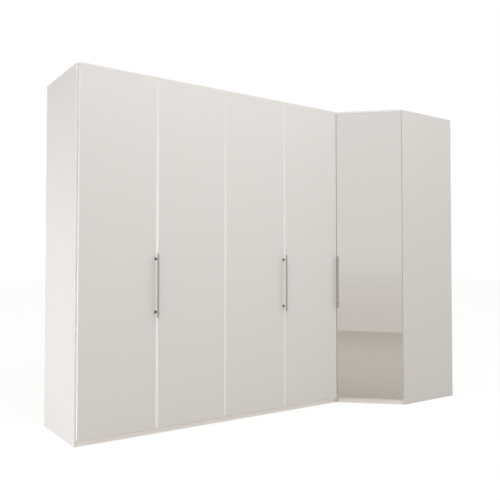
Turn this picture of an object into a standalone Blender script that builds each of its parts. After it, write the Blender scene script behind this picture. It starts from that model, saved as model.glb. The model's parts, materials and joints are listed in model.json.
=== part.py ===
"""Corner wardrobe: a straight run with two folding door pairs, and a corner unit with a mirror door.

Metres, +Z up. The plan frame of all sizes below starts at the outer front corner of the run's left
side: X runs along the fronts, Y from the carcass front to the wall, Z from the floor. One empty moves
this plan frame so that the object's origin is the centre of its footprint.

The door leaves are overlay leaves. Leaf 1 and leaf 3 turn on pins at their left edge, leaf 2 and
leaf 4 hang on them by knuckle hinges on the backs, and a roller at their far top corner runs in the
door track. The roller stands as far from the fold as the pins do and in line with them, so it stays
in its track at every angle. The mirror door turns on the same kind of pins at its right edge.
"""

from math import cos, pi, radians, sin, sqrt

import bmesh
import bpy
from mathutils import Matrix, Vector

# Carcass
CARCASS_HEIGHT = 2.160
CARCASS_DEPTH = 0.560
CORNER_RETURN = 0.350
CORNER_EXPOSURE = 0.010
PANEL = 0.019
TOP_PANEL = 0.022
BACK_BOARD = 0.004
BACK_INSET = 0.014
GROOVE_DEPTH = 0.008
PLINTH_HEIGHT = 0.037
PLINTH_BOARD = 0.016
POST_WIDTH = 0.044
PANEL_ARRIS = 0.0008

# Door leaves
LEAF_WIDTH = 0.484
LEAF_GAP = 0.004
SIDE_REVEAL = 0.010
TOP_REVEAL = 0.016
LEAF_BOTTOM = 0.039
LEAF_BOARD = 0.0183
PANE = 0.004
RIM_WIDTH = 0.009
BACK_GAP = 0.0025
MIRROR_HINGE_MARGIN = 0.002
MIRROR_FREE_MARGIN = 0.005
LEAF_ARRIS = 0.0006

# Clearances
SEAT = 0.0003
RUNNING_CLEARANCE = 0.0003
OVERRUN = 0.004
MERGE = 0.000001

# Pins, track and roller
PIVOT_INSET = 0.0065
PIVOT_DEPTH = 0.007
PIN_RADIUS = 0.003
PIN_SHANK = 0.025
PIN_COLLAR_RADIUS = 0.0042
PIN_COLLAR = 0.0011
PIN_TIP = 0.009
TRACK_GAP = 0.0015
TRACK_TOP_GAP = 0.0015
TRACK_WALL = 0.0018
TRACK_ROOF = 0.0015
PIVOT_BLOCK_LENGTH = 0.024
PIVOT_BLOCK_SINK = 0.0008
ROLLER_RADIUS = 0.0045
ROLLER_HEIGHT = 0.0065
ROLLER_BORE_RADIUS = 0.0028
GUIDE_PIN_RADIUS = 0.0025
GUIDE_HEAD_RADIUS = 0.0036
GUIDE_HEAD = 0.0012
BRACKET_PLATE = 0.0022
BRACKET_REACH = 0.045
BRACKET_OFFSET = 0.0065
BRACKET_WIDTH = 0.032
BRACKET_FRONT_INSET = 0.0015

# Fold hinges
FOLD_OFFSET = 0.008
FOLD_HINGE_HEIGHT = 0.072
FOLD_WING_WIDTH = 0.036
FOLD_PLATE = 0.0025
KNUCKLE_RADIUS = 0.005
KNUCKLE_BORE_RADIUS = 0.0028
FOLD_PIN_RADIUS = 0.0025
FOLD_PIN_HEAD_RADIUS = 0.0040
FOLD_PIN_HEAD = 0.0015
WING_SPLIT = 0.0006
FOLD_HINGE_SHARES = (0.06, 0.5, 0.94)
KNUCKLE_SHARES = (0.0, 1 / 3, 2 / 3, 1.0)

# Handles
HANDLE_LENGTH = 0.385
HANDLE_SPACING = 0.320
HANDLE_CENTRE_HEIGHT = 0.893
HANDLE_INSET = 0.009
HANDLE_BAR_RADIUS = 0.006
HANDLE_STANDOFF = 0.036
HANDLE_CHAMFER = 0.0012
HANDLE_STEM_SINK = 0.002
FOOT_ROSE_RADIUS = 0.0082
FOOT_ROSE = 0.004
FOOT_STEM_RADIUS = 0.0045

# Fittings inside
HAT_SPACE = 0.298
SHELF_SETBACK = 0.030
SHELF_SIDE_GAP = 0.0015
RAIL_DROP = 0.072
RAIL_WIDTH = 0.015
RAIL_HEIGHT = 0.030
RAIL_WALL = 0.0015
RAIL_DEPTH_SHARE = 0.5
SOCKET_BASE = 0.0025
SOCKET_WALL = 0.0025
SOCKET_FLANGE = 0.007
SOCKET_DEPTH = 0.012
HANGER_LENGTH = 0.016
HANGER_FOOT = 0.003
CORNER_RAIL_SHARE = 0.62
SHELF_PIN_RADIUS = 0.0025
SHELF_PIN_COLLAR_RADIUS = 0.004
SHELF_PIN_COLLAR = 0.001
SHELF_PIN_REACH = 0.008
SHELF_PIN_SHARES = (0.18, 0.85)

# Facets of round pieces
FINE_SEGMENTS = 16
ROUND_SEGMENTS = 12
SMALL_SEGMENTS = 8

# Worked out from the sizes above
LEAF_THICKNESS = LEAF_BOARD + PANE
FRONT_PLANE = -(BACK_GAP + LEAF_THICKNESS)
LEAF_TOP = CARCASS_HEIGHT - TOP_REVEAL
RUN_WIDTH = 2 * SIDE_REVEAL + 4 * LEAF_WIDTH + 3 * LEAF_GAP
RUN_CENTRE = RUN_WIDTH / 2
CORNER_SQUARE = CARCASS_DEPTH + CORNER_RETURN
CORNER_LEFT = RUN_WIDTH + SEAT
CORNER_RIGHT = CORNER_LEFT + CORNER_SQUARE
CORNER_FRONT = CARCASS_DEPTH - CORNER_SQUARE
END_PANEL_LEFT = CORNER_RIGHT - CARCASS_DEPTH
DIAGONAL_SUM = CORNER_LEFT + CORNER_EXPOSURE
DIAGONAL_LENGTH = (END_PANEL_LEFT - DIAGONAL_SUM) * sqrt(2)
MIRROR_WIDTH = DIAGONAL_LENGTH - MIRROR_HINGE_MARGIN - MIRROR_FREE_MARGIN
BACK_FRONT = CARCASS_DEPTH - BACK_INSET - BACK_BOARD
BOARD_REAR = BACK_FRONT - SEAT
BOTTOM_LOW = PLINTH_HEIGHT + SEAT
BOTTOM_HIGH = BOTTOM_LOW + PANEL
TOP_LOW = CARCASS_HEIGHT - TOP_PANEL
SHELF_TOP_HEIGHT = TOP_LOW - HAT_SPACE
SHELF_LOW = SHELF_TOP_HEIGHT - PANEL
RAIL_CENTRE_HEIGHT = SHELF_LOW - RAIL_DROP
PIVOT_Y = FRONT_PLANE + PIVOT_DEPTH
TRACK_LOW = LEAF_TOP + TRACK_GAP
TRACK_HIGH = CARCASS_HEIGHT - TRACK_TOP_GAP
CHANNEL_HALF_WIDTH = ROLLER_RADIUS + RUNNING_CLEARANCE
FOOTPRINT_FRONT = (DIAGONAL_SUM - END_PANEL_LEFT
                   + (MIRROR_HINGE_MARGIN - BACK_GAP - LEAF_THICKNESS) / sqrt(2))
ORIGIN_X = CORNER_RIGHT / 2
ORIGIN_Y = (FOOTPRINT_FRONT + CARCASS_DEPTH) / 2

# Finishes: base colour, roughness, metallic
MATT_WHITE = ((0.80, 0.79, 0.77), 0.45, 0.0)
INNER_WHITE = ((0.78, 0.77, 0.75), 0.55, 0.0)
GLASS_WHITE = ((0.68, 0.66, 0.63), 0.06, 0.0)
MIRROR_SILVER = ((0.90, 0.91, 0.91), 0.02, 1.0)
BRUSHED_STEEL = ((0.46, 0.44, 0.42), 0.32, 1.0)
ZINC_STEEL = ((0.58, 0.58, 0.57), 0.30, 1.0)
PAINTED_TRACK = ((0.76, 0.75, 0.73), 0.35, 0.0)
GREY_NYLON = ((0.32, 0.32, 0.33), 0.55, 0.0)


def clear_scene():
    """Remove every object of the open file."""
    for old in list(bpy.data.objects):
        bpy.data.objects.remove(old, do_unlink=True)


def make_empty(name, x, y, z, turn, parent):
    """Add an empty at a place of its parent's frame, turned about Z."""
    empty = bpy.data.objects.new(name, None)
    empty.empty_display_size = LEAF_WIDTH / 4
    bpy.context.collection.objects.link(empty)
    empty.parent = parent
    empty.location = (x, y, z)
    empty.rotation_euler = (0.0, 0.0, turn)
    return empty


def make_material(name, finish):
    """Make a Principled material of one finish."""
    colour, roughness, metallic = finish
    material = bpy.data.materials.new(name)
    material.use_nodes = True
    shader = material.node_tree.nodes["Principled BSDF"]
    shader.inputs["Base Color"].default_value = (*colour, 1.0)
    shader.inputs["Roughness"].default_value = roughness
    shader.inputs["Metallic"].default_value = metallic
    material.diffuse_color = (*colour, 1.0)
    return material


def add_object(name, shape, finish, parent, smooth=False):
    """Turn a bmesh into a named object under its parent, with a finish of its own."""
    bmesh.ops.remove_doubles(shape, verts=shape.verts, dist=MERGE)
    bmesh.ops.recalc_face_normals(shape, faces=shape.faces)
    mesh = bpy.data.meshes.new(name)
    shape.to_mesh(mesh)
    shape.free()
    if smooth:
        mesh.shade_smooth()
        mesh.set_sharp_from_angle(angle=radians(40))
    mesh.materials.append(make_material(name + "_finish", finish))
    piece = bpy.data.objects.new(name, mesh)
    bpy.context.collection.objects.link(piece)
    piece.parent = parent
    return piece


def cut(piece, name, cutter_shape, operation="DIFFERENCE"):
    """Cut a shape out of a piece, or join it on, with a hidden tool object."""
    bmesh.ops.remove_doubles(cutter_shape, verts=cutter_shape.verts, dist=MERGE)
    bmesh.ops.recalc_face_normals(cutter_shape, faces=cutter_shape.faces)
    mesh = bpy.data.meshes.new(name)
    cutter_shape.to_mesh(mesh)
    cutter_shape.free()
    tool = bpy.data.objects.new(name, mesh)
    bpy.context.collection.objects.link(tool)
    tool.parent = piece.parent
    tool.hide_render = True
    tool.display_type = "WIRE"
    boolean = piece.modifiers.new(name, "BOOLEAN")
    boolean.operation = operation
    boolean.solver = "EXACT"
    boolean.object = tool


def round_arrises(piece, width):
    """Break the edges of a board by a small bevel."""
    bevel = piece.modifiers.new("arris", "BEVEL")
    bevel.width = width
    bevel.segments = 1
    bevel.limit_method = "ANGLE"
    bevel.angle_limit = radians(30)


def add_block(shape, low, high):
    """Add a block between two corners."""
    low = Vector(low)
    high = Vector(high)
    made = bmesh.ops.create_cube(shape, size=1.0)
    bmesh.ops.scale(shape, vec=high - low, verts=made["verts"])
    bmesh.ops.translate(shape, vec=(low + high) / 2, verts=made["verts"])


def add_prism(shape, outline, low, high, place=None):
    """Extrude a flat outline from one height to another."""
    base = [shape.verts.new((x, y, low)) for x, y in outline]
    face = shape.faces.new(base)
    made = bmesh.ops.extrude_face_region(shape, geom=[face])
    raised = [item for item in made["geom"] if isinstance(item, bmesh.types.BMVert)]
    bmesh.ops.translate(shape, vec=(0.0, 0.0, high - low), verts=raised)
    if place is not None:
        bmesh.ops.transform(shape, matrix=place, verts=base + raised)


def circle_outline(radius, segments):
    """Points round a circle."""
    return [(radius * cos(2 * pi * i / segments), radius * sin(2 * pi * i / segments))
            for i in range(segments)]


def oval_outline(width, height, segments):
    """Points round a slot-shaped oval, wide along X and tall along Y."""
    radius = width / 2
    rise = (height - width) / 2
    half = segments // 2
    upper = [(radius * cos(pi * i / half), rise + radius * sin(pi * i / half)) for i in range(half + 1)]
    lower = [(-x, -y) for x, y in upper]
    return upper + lower


def add_stack(shape, rings, place=None, closed=False):
    """Bridge a row of (outline, height) rings, capped at both ends or closed into a tube."""
    loops = []
    for outline, height in rings:
        loops.append([shape.verts.new((x, y, height)) for x, y in outline])
    count = len(loops[0])
    pairs = list(zip(loops, loops[1:]))
    if closed:
        pairs.append((loops[-1], loops[0]))
    for first, second in pairs:
        for i in range(count):
            j = (i + 1) % count
            shape.faces.new((first[i], first[j], second[j], second[i]))
    if not closed:
        shape.faces.new(list(reversed(loops[0])))
        shape.faces.new(loops[-1])
    if place is not None:
        bmesh.ops.transform(shape, matrix=place, verts=[vert for loop in loops for vert in loop])


def add_turned(shape, profile, segments, place=None):
    """Add a solid turned about Z from (radius, height) points, first to last."""
    add_stack(shape, [(circle_outline(radius, segments), height) for radius, height in profile], place)


def along_x(x, y, z):
    """Place a shape drawn on Z so that it runs along +X and its Y points up."""
    turn = Matrix(((0.0, 0.0, 1.0, x), (1.0, 0.0, 0.0, y), (0.0, 1.0, 0.0, z), (0.0, 0.0, 0.0, 1.0)))
    return turn


def towards(direction, x, y, z):
    """Place a shape drawn on Z so that it runs along a level direction."""
    return Matrix.Translation((x, y, z)) @ Vector(direction).to_track_quat("Z", "Y").to_matrix().to_4x4()


def leaf_left(index):
    """Left edge of a leaf of the run, counted from 0."""
    return SIDE_REVEAL + index * (LEAF_WIDTH + LEAF_GAP)


def diagonal_outline(left, front, right, rear, diagonal_sum):
    """Plan of a corner board: a rectangle with its front left corner cut off at 45 degrees."""
    return [(left, diagonal_sum - left), (diagonal_sum - front, front), (right, front),
            (right, rear), (left, rear)]


def shelf_pin_places(x, low, high, direction):
    """Places of the pins that carry a shelf on one wall."""
    return [(x, low + share * (high - low), direction) for share in SHELF_PIN_SHARES]


def add_shelf_pins(shape, places):
    """Shelf pins with a collar, their roots in the wall, at (x, y, direction) on its face."""
    for x, y, direction in places:
        place = towards(direction, x, y, SHELF_LOW - SEAT - SHELF_PIN_RADIUS)
        add_turned(shape, [(SHELF_PIN_COLLAR_RADIUS, -OVERRUN),
                           (SHELF_PIN_COLLAR_RADIUS, SHELF_PIN_COLLAR),
                           (SHELF_PIN_RADIUS, SHELF_PIN_COLLAR),
                           (SHELF_PIN_RADIUS, SHELF_PIN_REACH)], SMALL_SEGMENTS, place)


def build_panel(name, low, high, grooves, parent, pins=(), sockets=()):
    """A standing panel with grooves for the backs, its shelf pins and its rail sockets."""
    shape = bmesh.new()
    add_block(shape, low, high)
    piece = add_object(name, shape, MATT_WHITE, parent)
    round_arrises(piece, PANEL_ARRIS)
    groove = bmesh.new()
    for groove_low, groove_high in grooves:
        add_block(groove, groove_low, groove_high)
    cut(piece, name + "_grooves", groove)
    if pins:
        studs = bmesh.new()
        add_shelf_pins(studs, pins)
        cut(piece, name + "_pins", studs, "UNION")
    if sockets:
        cups = bmesh.new()
        for place in sockets:
            add_socket(cups, place)
        cut(piece, name + "_sockets", cups, "UNION")


def build_run_carcass(parent):
    """Sides, partition, top, bottom, backs and plinth of the straight run."""
    pins = run_shelf_pins()
    sockets = run_sockets()
    groove_front = BACK_FRONT - SEAT
    groove_rear = BACK_FRONT + BACK_BOARD + SEAT
    left_inner = PANEL
    right_inner = RUN_WIDTH - PANEL
    wall_left = RUN_CENTRE - PANEL / 2
    wall_right = RUN_CENTRE + PANEL / 2
    low = BOTTOM_LOW - SEAT
    high = CARCASS_HEIGHT + OVERRUN
    build_panel("left_side_panel", (0.0, 0.0, 0.0), (PANEL, CARCASS_DEPTH, CARCASS_HEIGHT),
                [((left_inner - GROOVE_DEPTH, groove_front, low),
                  (left_inner + OVERRUN, groove_rear, high))], parent, pins[0], sockets[0])
    build_panel("right_side_panel", (right_inner, 0.0, 0.0), (RUN_WIDTH, CARCASS_DEPTH, CARCASS_HEIGHT),
                [((right_inner - OVERRUN, groove_front, low),
                  (right_inner + GROOVE_DEPTH, groove_rear, high))], parent, pins[3], sockets[3])
    build_panel("centre_partition", (wall_left, 0.0, BOTTOM_HIGH + SEAT),
                (wall_right, CARCASS_DEPTH, TOP_LOW - SEAT),
                [((wall_left - OVERRUN, groove_front, low),
                  (wall_left + GROOVE_DEPTH, groove_rear, high)),
                 ((wall_right - GROOVE_DEPTH, groove_front, low),
                  (wall_right + OVERRUN, groove_rear, high))],
                parent, pins[1] + pins[2], sockets[1] + sockets[2])
    for name, low, top in (("top_panel", TOP_LOW, CARCASS_HEIGHT),
                           ("bottom_panel", BOTTOM_LOW, BOTTOM_HIGH)):
        shape = bmesh.new()
        add_block(shape, (left_inner + SEAT, 0.0, low), (right_inner - SEAT, BOARD_REAR, top))
        round_arrises(add_object(name, shape, MATT_WHITE, parent), PANEL_ARRIS)
    spans = (("back_panel_left", left_inner, wall_left), ("back_panel_right", wall_right, right_inner))
    for name, left, right in spans:
        shape = bmesh.new()
        add_block(shape, (left - GROOVE_DEPTH + SEAT, BACK_FRONT, BOTTOM_LOW),
                  (right + GROOVE_DEPTH - SEAT, BACK_FRONT + BACK_BOARD, CARCASS_HEIGHT))
        add_object(name, shape, INNER_WHITE, parent)
    shape = bmesh.new()
    add_block(shape, (left_inner + SEAT, BOARD_REAR - PLINTH_BOARD, 0.0),
              (right_inner - SEAT, BOARD_REAR, PLINTH_HEIGHT))
    add_object("rear_plinth_rail", shape, MATT_WHITE, parent)
    shape = bmesh.new()
    add_block(shape, (left_inner + SEAT, 0.0, 0.0), (right_inner - SEAT, PLINTH_BOARD, PLINTH_HEIGHT))
    plinth = add_object("plinth_strip", shape, MATT_WHITE, parent)
    notches = bmesh.new()
    for index in (0, 2):
        left = leaf_left(index) + PIVOT_INSET + BRACKET_OFFSET
        add_block(notches, (left - SEAT, -OVERRUN, PLINTH_HEIGHT - BRACKET_PLATE - SEAT),
                  (left + BRACKET_WIDTH + SEAT, PLINTH_BOARD + OVERRUN, PLINTH_HEIGHT + OVERRUN))
    cut(plinth, "plinth_strip_notches", notches)


def rail_y():
    """Depth of the clothes rails in the carcass."""
    return RAIL_DEPTH_SHARE * BOARD_REAR


def run_sockets():
    """Places of the rail sockets of the run, wall by wall as in run_shelf_pins."""
    turned = Matrix.Rotation(pi, 4, "Z") @ along_x(0.0, 0.0, 0.0)
    right_wards = [along_x(x, rail_y(), RAIL_CENTRE_HEIGHT) for x in (PANEL, RUN_CENTRE + PANEL / 2)]
    left_wards = [Matrix.Translation((x, rail_y(), RAIL_CENTRE_HEIGHT)) @ turned
                  for x in (RUN_CENTRE - PANEL / 2, RUN_WIDTH - PANEL)]
    return [right_wards[:1], left_wards[:1], right_wards[1:], left_wards[1:]]


def run_shelf_pins():
    """Pin places of the run: left side, partition left, partition right, right side."""
    low = SHELF_SETBACK
    high = BOARD_REAR
    right_way = (1.0, 0.0, 0.0)
    left_way = (-1.0, 0.0, 0.0)
    return [shelf_pin_places(PANEL, low, high, right_way),
            shelf_pin_places(RUN_CENTRE - PANEL / 2, low, high, left_way),
            shelf_pin_places(RUN_CENTRE + PANEL / 2, low, high, right_way),
            shelf_pin_places(RUN_WIDTH - PANEL, low, high, left_way)]


def corner_shelf_pins():
    """Pin places of the corner unit: side panel, then end panel."""
    side = shelf_pin_places(CORNER_LEFT + PANEL, SHELF_SETBACK, BOARD_REAR, (1.0, 0.0, 0.0))
    end_low = END_PANEL_LEFT + SHELF_SETBACK
    end_high = CORNER_RIGHT - BACK_INSET
    end = [(end_low + share * (end_high - end_low), CORNER_FRONT + PANEL, (0.0, 1.0, 0.0))
           for share in SHELF_PIN_SHARES]
    return side, end


def build_corner_carcass(parent):
    """Panels, post, backs and plinth of the corner unit."""
    side_pins, end_pins = corner_shelf_pins()
    inner_left = CORNER_LEFT + PANEL
    inner_front = CORNER_FRONT + PANEL
    wall_back = CORNER_RIGHT - BACK_INSET - BACK_BOARD
    high = CARCASS_HEIGHT + OVERRUN
    low = BOTTOM_LOW - SEAT
    groove_front = BACK_FRONT - SEAT
    groove_rear = BACK_FRONT + BACK_BOARD + SEAT
    groove_left = wall_back - SEAT
    groove_right = wall_back + BACK_BOARD + SEAT
    build_panel("corner_side_panel", (CORNER_LEFT, 0.0, 0.0), (inner_left, CARCASS_DEPTH, CARCASS_HEIGHT),
                [((inner_left - GROOVE_DEPTH, groove_front, low),
                  (inner_left + OVERRUN, groove_rear, high))],
                parent, side_pins, [along_x(inner_left, rail_y(), RAIL_CENTRE_HEIGHT)])
    build_panel("corner_end_panel", (END_PANEL_LEFT, CORNER_FRONT, 0.0),
                (CORNER_RIGHT, inner_front, CARCASS_HEIGHT),
                [((groove_left, inner_front - GROOVE_DEPTH, low),
                  (groove_right, inner_front + OVERRUN, high))], parent, end_pins)
    post_left = CORNER_RIGHT - POST_WIDTH
    post_front = CARCASS_DEPTH - POST_WIDTH
    build_panel("corner_post", (post_left, post_front, 0.0), (CORNER_RIGHT, CARCASS_DEPTH, CARCASS_HEIGHT),
                [((post_left - OVERRUN, groove_front, low),
                  (post_left + GROOVE_DEPTH, groove_rear, high)),
                 ((groove_left, post_front - OVERRUN, low),
                  (groove_right, post_front + GROOVE_DEPTH, high))], parent)
    for name, low, top, setback in (("corner_top_panel", TOP_LOW, CARCASS_HEIGHT, 0.0),
                                    ("corner_bottom_panel", BOTTOM_LOW, BOTTOM_HIGH, 0.0),
                                    ("corner_hat_shelf", SHELF_LOW, SHELF_TOP_HEIGHT, SHELF_SETBACK)):
        gap = SHELF_SIDE_GAP if setback else SEAT
        outline = diagonal_outline(inner_left + gap, inner_front + gap, wall_back - SEAT, BOARD_REAR,
                                   DIAGONAL_SUM + setback * sqrt(2))
        shape = bmesh.new()
        add_prism(shape, outline, low, top)
        board = add_object(name, shape, MATT_WHITE, parent)
        round_arrises(board, PANEL_ARRIS)
        notch = bmesh.new()
        add_block(notch, (post_left - SEAT, post_front - SEAT, low - OVERRUN),
                  (CORNER_RIGHT, CARCASS_DEPTH, top + OVERRUN))
        cut(board, name + "_post_notch", notch)
        if setback:
            add_rail_hanger(board)
    shape = bmesh.new()
    add_block(shape, (inner_left - GROOVE_DEPTH + SEAT, BACK_FRONT, BOTTOM_LOW),
              (post_left + GROOVE_DEPTH - SEAT, BACK_FRONT + BACK_BOARD, CARCASS_HEIGHT))
    add_object("corner_back_panel_rear", shape, INNER_WHITE, parent)
    shape = bmesh.new()
    add_block(shape, (wall_back, inner_front - GROOVE_DEPTH + SEAT, BOTTOM_LOW),
              (wall_back + BACK_BOARD, post_front + GROOVE_DEPTH - SEAT, CARCASS_HEIGHT))
    add_object("corner_back_panel_wall", shape, INNER_WHITE, parent)
    depth = PLINTH_BOARD * sqrt(2)
    left = inner_left + SEAT
    front = inner_front + SEAT
    shape = bmesh.new()
    add_prism(shape, [(left, DIAGONAL_SUM - left), (DIAGONAL_SUM - front, front),
                      (DIAGONAL_SUM - front + depth, front), (left, DIAGONAL_SUM - left + depth)],
              0.0, PLINTH_HEIGHT)
    plinth = add_object("corner_plinth", shape, MATT_WHITE, parent)
    notch = bmesh.new()
    high = -BRACKET_OFFSET + SEAT
    add_block(notch, (high - BRACKET_WIDTH - 2 * SEAT, -PIVOT_Y - OVERRUN,
                      PLINTH_HEIGHT - BRACKET_PLATE - SEAT),
              (high, -PIVOT_Y + PLINTH_BOARD + OVERRUN, PLINTH_HEIGHT + OVERRUN))
    bmesh.ops.transform(notch, matrix=mirror_axis_matrix(), verts=notch.verts)
    cut(plinth, "corner_plinth_notch", notch)


def mirror_axis_place():
    """Plan place of the mirror door's axis."""
    along = DIAGONAL_LENGTH - MIRROR_HINGE_MARGIN - PIVOT_INSET
    x = DIAGONAL_SUM + (along + PIVOT_Y) / sqrt(2)
    y = (PIVOT_Y - along) / sqrt(2)
    return x, y


def mirror_axis_matrix():
    """Frame on the mirror door's axis: X along the diagonal, Y square into the unit."""
    x, y = mirror_axis_place()
    return Matrix.Translation((x, y, 0.0)) @ Matrix.Rotation(radians(-45), 4, "Z")


def bracket_outline(side):
    """Plan of a bottom bracket about its pin; side is 1 to pass right of the pin, -1 to pass left."""
    front = -(PIVOT_DEPTH - BRACKET_FRONT_INSET)
    step = -PIVOT_Y - BACK_GAP
    points = [(-PIVOT_INSET + BRACKET_FRONT_INSET, front), (BRACKET_OFFSET + BRACKET_WIDTH, front),
              (BRACKET_OFFSET + BRACKET_WIDTH, -PIVOT_Y + BRACKET_REACH),
              (BRACKET_OFFSET, -PIVOT_Y + BRACKET_REACH), (BRACKET_OFFSET, step),
              (-PIVOT_INSET + BRACKET_FRONT_INSET, step)]
    return [(side * x, y) for x, y in points]


def build_head(name, length, place, axes, parent):
    """A head rail over the doors: the channel, with a bored block filling it over each hinge pin."""
    shape = bmesh.new()
    add_prism(shape, track_outline(), 0.0, length, place)
    head = add_object(name, shape, PAINTED_TRACK, parent)
    half = CHANNEL_HALF_WIDTH + PIVOT_BLOCK_SINK
    blocks = bmesh.new()
    bores = bmesh.new()
    for matrix, side in axes:
        near = -side * (PIVOT_INSET - SEAT)
        far = near + side * PIVOT_BLOCK_LENGTH
        block = bmesh.new()
        add_block(block, (min(near, far), -half, TRACK_LOW + SEAT),
                  (max(near, far), half, TRACK_HIGH - TRACK_ROOF + PIVOT_BLOCK_SINK))
        bore = bmesh.new()
        add_turned(bore, [(PIN_RADIUS + RUNNING_CLEARANCE, TRACK_LOW - OVERRUN),
                          (PIN_RADIUS + RUNNING_CLEARANCE, LEAF_TOP + PIN_TIP + SEAT)],
                   ROUND_SEGMENTS)
        join_shape(blocks, block, matrix)
        join_shape(bores, bore, matrix)
    cut(head, name + "_pivot_blocks", blocks, "UNION")
    cut(head, name + "_pivot_bores", bores)


def build_bottom_bracket(name, matrix, side, parent):
    """A steel plate under the bottom panel, with the pin that a hinged leaf stands on."""
    plate = bmesh.new()
    add_prism(plate, bracket_outline(side), PLINTH_HEIGHT - BRACKET_PLATE, PLINTH_HEIGHT, matrix)
    bracket = add_object(name, plate, ZINC_STEEL, parent)
    pin = bmesh.new()
    add_turned(pin, [(PIN_COLLAR_RADIUS, PLINTH_HEIGHT - BRACKET_PLATE / 2),
                     (PIN_COLLAR_RADIUS, LEAF_BOTTOM - SEAT), (PIN_RADIUS, LEAF_BOTTOM - SEAT),
                     (PIN_RADIUS, LEAF_BOTTOM + PIN_SHANK - PIN_RADIUS),
                     (PIN_RADIUS / 2, LEAF_BOTTOM + PIN_SHANK - PIN_RADIUS / 2)], ROUND_SEGMENTS, matrix)
    cut(bracket, name + "_pin", pin, "UNION")


def build_pivots(parent):
    """Door track, head rail of the mirror door and the bottom brackets."""
    places = [Matrix.Translation((leaf_left(index) + PIVOT_INSET, PIVOT_Y, 0.0)) for index in (0, 2)]
    corner = mirror_axis_matrix()
    build_head("door_track", RUN_WIDTH - 2 * SIDE_REVEAL, along_x(SIDE_REVEAL, 0.0, 0.0),
               [(place, 1) for place in places], parent)
    diagonal = Matrix.Translation((DIAGONAL_SUM, 0.0, 0.0)) @ Matrix.Rotation(radians(-45), 4, "Z")
    build_head("corner_door_head", MIRROR_WIDTH, diagonal @ along_x(MIRROR_FREE_MARGIN, 0.0, 0.0),
               [(corner, -1)], parent)
    build_bottom_bracket("bottom_pivot_bracket_1", places[0], 1, parent)
    build_bottom_bracket("bottom_pivot_bracket_3", places[1], 1, parent)
    build_bottom_bracket("mirror_door_bottom_bracket", corner, -1, parent)


def join_shape(whole, part, matrix):
    """Copy a shape into another one through a matrix, and free it."""
    bmesh.ops.transform(part, matrix=matrix, verts=part.verts)
    made = {vert: whole.verts.new(vert.co) for vert in part.verts}
    for face in part.faces:
        whole.faces.new([made[vert] for vert in face.verts])
    part.free()


def track_outline():
    """Section of the door track, as (depth, height): a roller channel and a flange to the carcass."""
    front = FRONT_PLANE
    near = PIVOT_Y - CHANNEL_HALF_WIDTH
    far = PIVOT_Y + CHANNEL_HALF_WIDTH
    roof = TRACK_HIGH - TRACK_ROOF
    return [(front, TRACK_LOW), (near, TRACK_LOW), (near, roof), (far, roof), (far, TRACK_LOW),
            (far + TRACK_WALL, TRACK_LOW), (far + TRACK_WALL, roof), (-SEAT - TRACK_WALL, roof),
            (-SEAT - TRACK_WALL, TRACK_LOW), (-SEAT, TRACK_LOW), (-SEAT, TRACK_HIGH),
            (front, TRACK_HIGH)]


def build_leaf(name, left, right, front, glass, pin_places, parent):
    """A door leaf in its frame: a board with a rim round its front, and the pane set in the rim."""
    shape = bmesh.new()
    add_block(shape, (left, front, LEAF_BOTTOM), (right, front + LEAF_THICKNESS, LEAF_TOP))
    face = min(shape.faces, key=lambda one: one.calc_center_median().y)
    bmesh.ops.inset_region(shape, faces=[face], thickness=RIM_WIDTH, use_even_offset=True)
    made = bmesh.ops.extrude_discrete_faces(shape, faces=[face])
    bmesh.ops.translate(shape, vec=(0.0, PANE + SEAT, 0.0), verts=made["faces"][0].verts)
    board = add_object(name + "_board", shape, MATT_WHITE, parent)
    round_arrises(board, LEAF_ARRIS)
    if pin_places:
        bores = bmesh.new()
        for x, y, low, high, radius in pin_places:
            add_turned(bores, [(radius, low), (radius, high)], ROUND_SEGMENTS,
                       Matrix.Translation((x, y, 0.0)))
        cut(board, name + "_bores", bores)
    shape = bmesh.new()
    inset = RIM_WIDTH + SEAT
    add_block(shape, (left + inset, front, LEAF_BOTTOM + inset),
              (right - inset, front + PANE, LEAF_TOP - inset))
    pane = add_object(name + "_pane", shape, glass, parent)
    round_arrises(pane, LEAF_ARRIS)


def hinge_bores(x):
    """Bores of a hinged leaf for its top pin and for the pin of the bottom bracket."""
    return [(x, 0.0, LEAF_TOP - PIN_SHANK - SEAT, LEAF_TOP + OVERRUN, PIN_RADIUS + RUNNING_CLEARANCE),
            (x, 0.0, LEAF_BOTTOM - OVERRUN, LEAF_BOTTOM + PIN_SHANK + SEAT,
             PIN_RADIUS + RUNNING_CLEARANCE)]


def build_top_pin(name, parent):
    """The pin fixed in the top of a hinged leaf, with a collar under the pivot block."""
    shape = bmesh.new()
    add_turned(shape, [(PIN_RADIUS, LEAF_TOP - PIN_SHANK), (PIN_RADIUS, LEAF_TOP + SEAT),
                       (PIN_COLLAR_RADIUS, LEAF_TOP + SEAT), (PIN_COLLAR_RADIUS, LEAF_TOP + PIN_COLLAR),
                       (PIN_RADIUS, LEAF_TOP + PIN_COLLAR), (PIN_RADIUS, LEAF_TOP + PIN_TIP)],
               ROUND_SEGMENTS)
    add_object(name, shape, ZINC_STEEL, parent, smooth=True)


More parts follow.
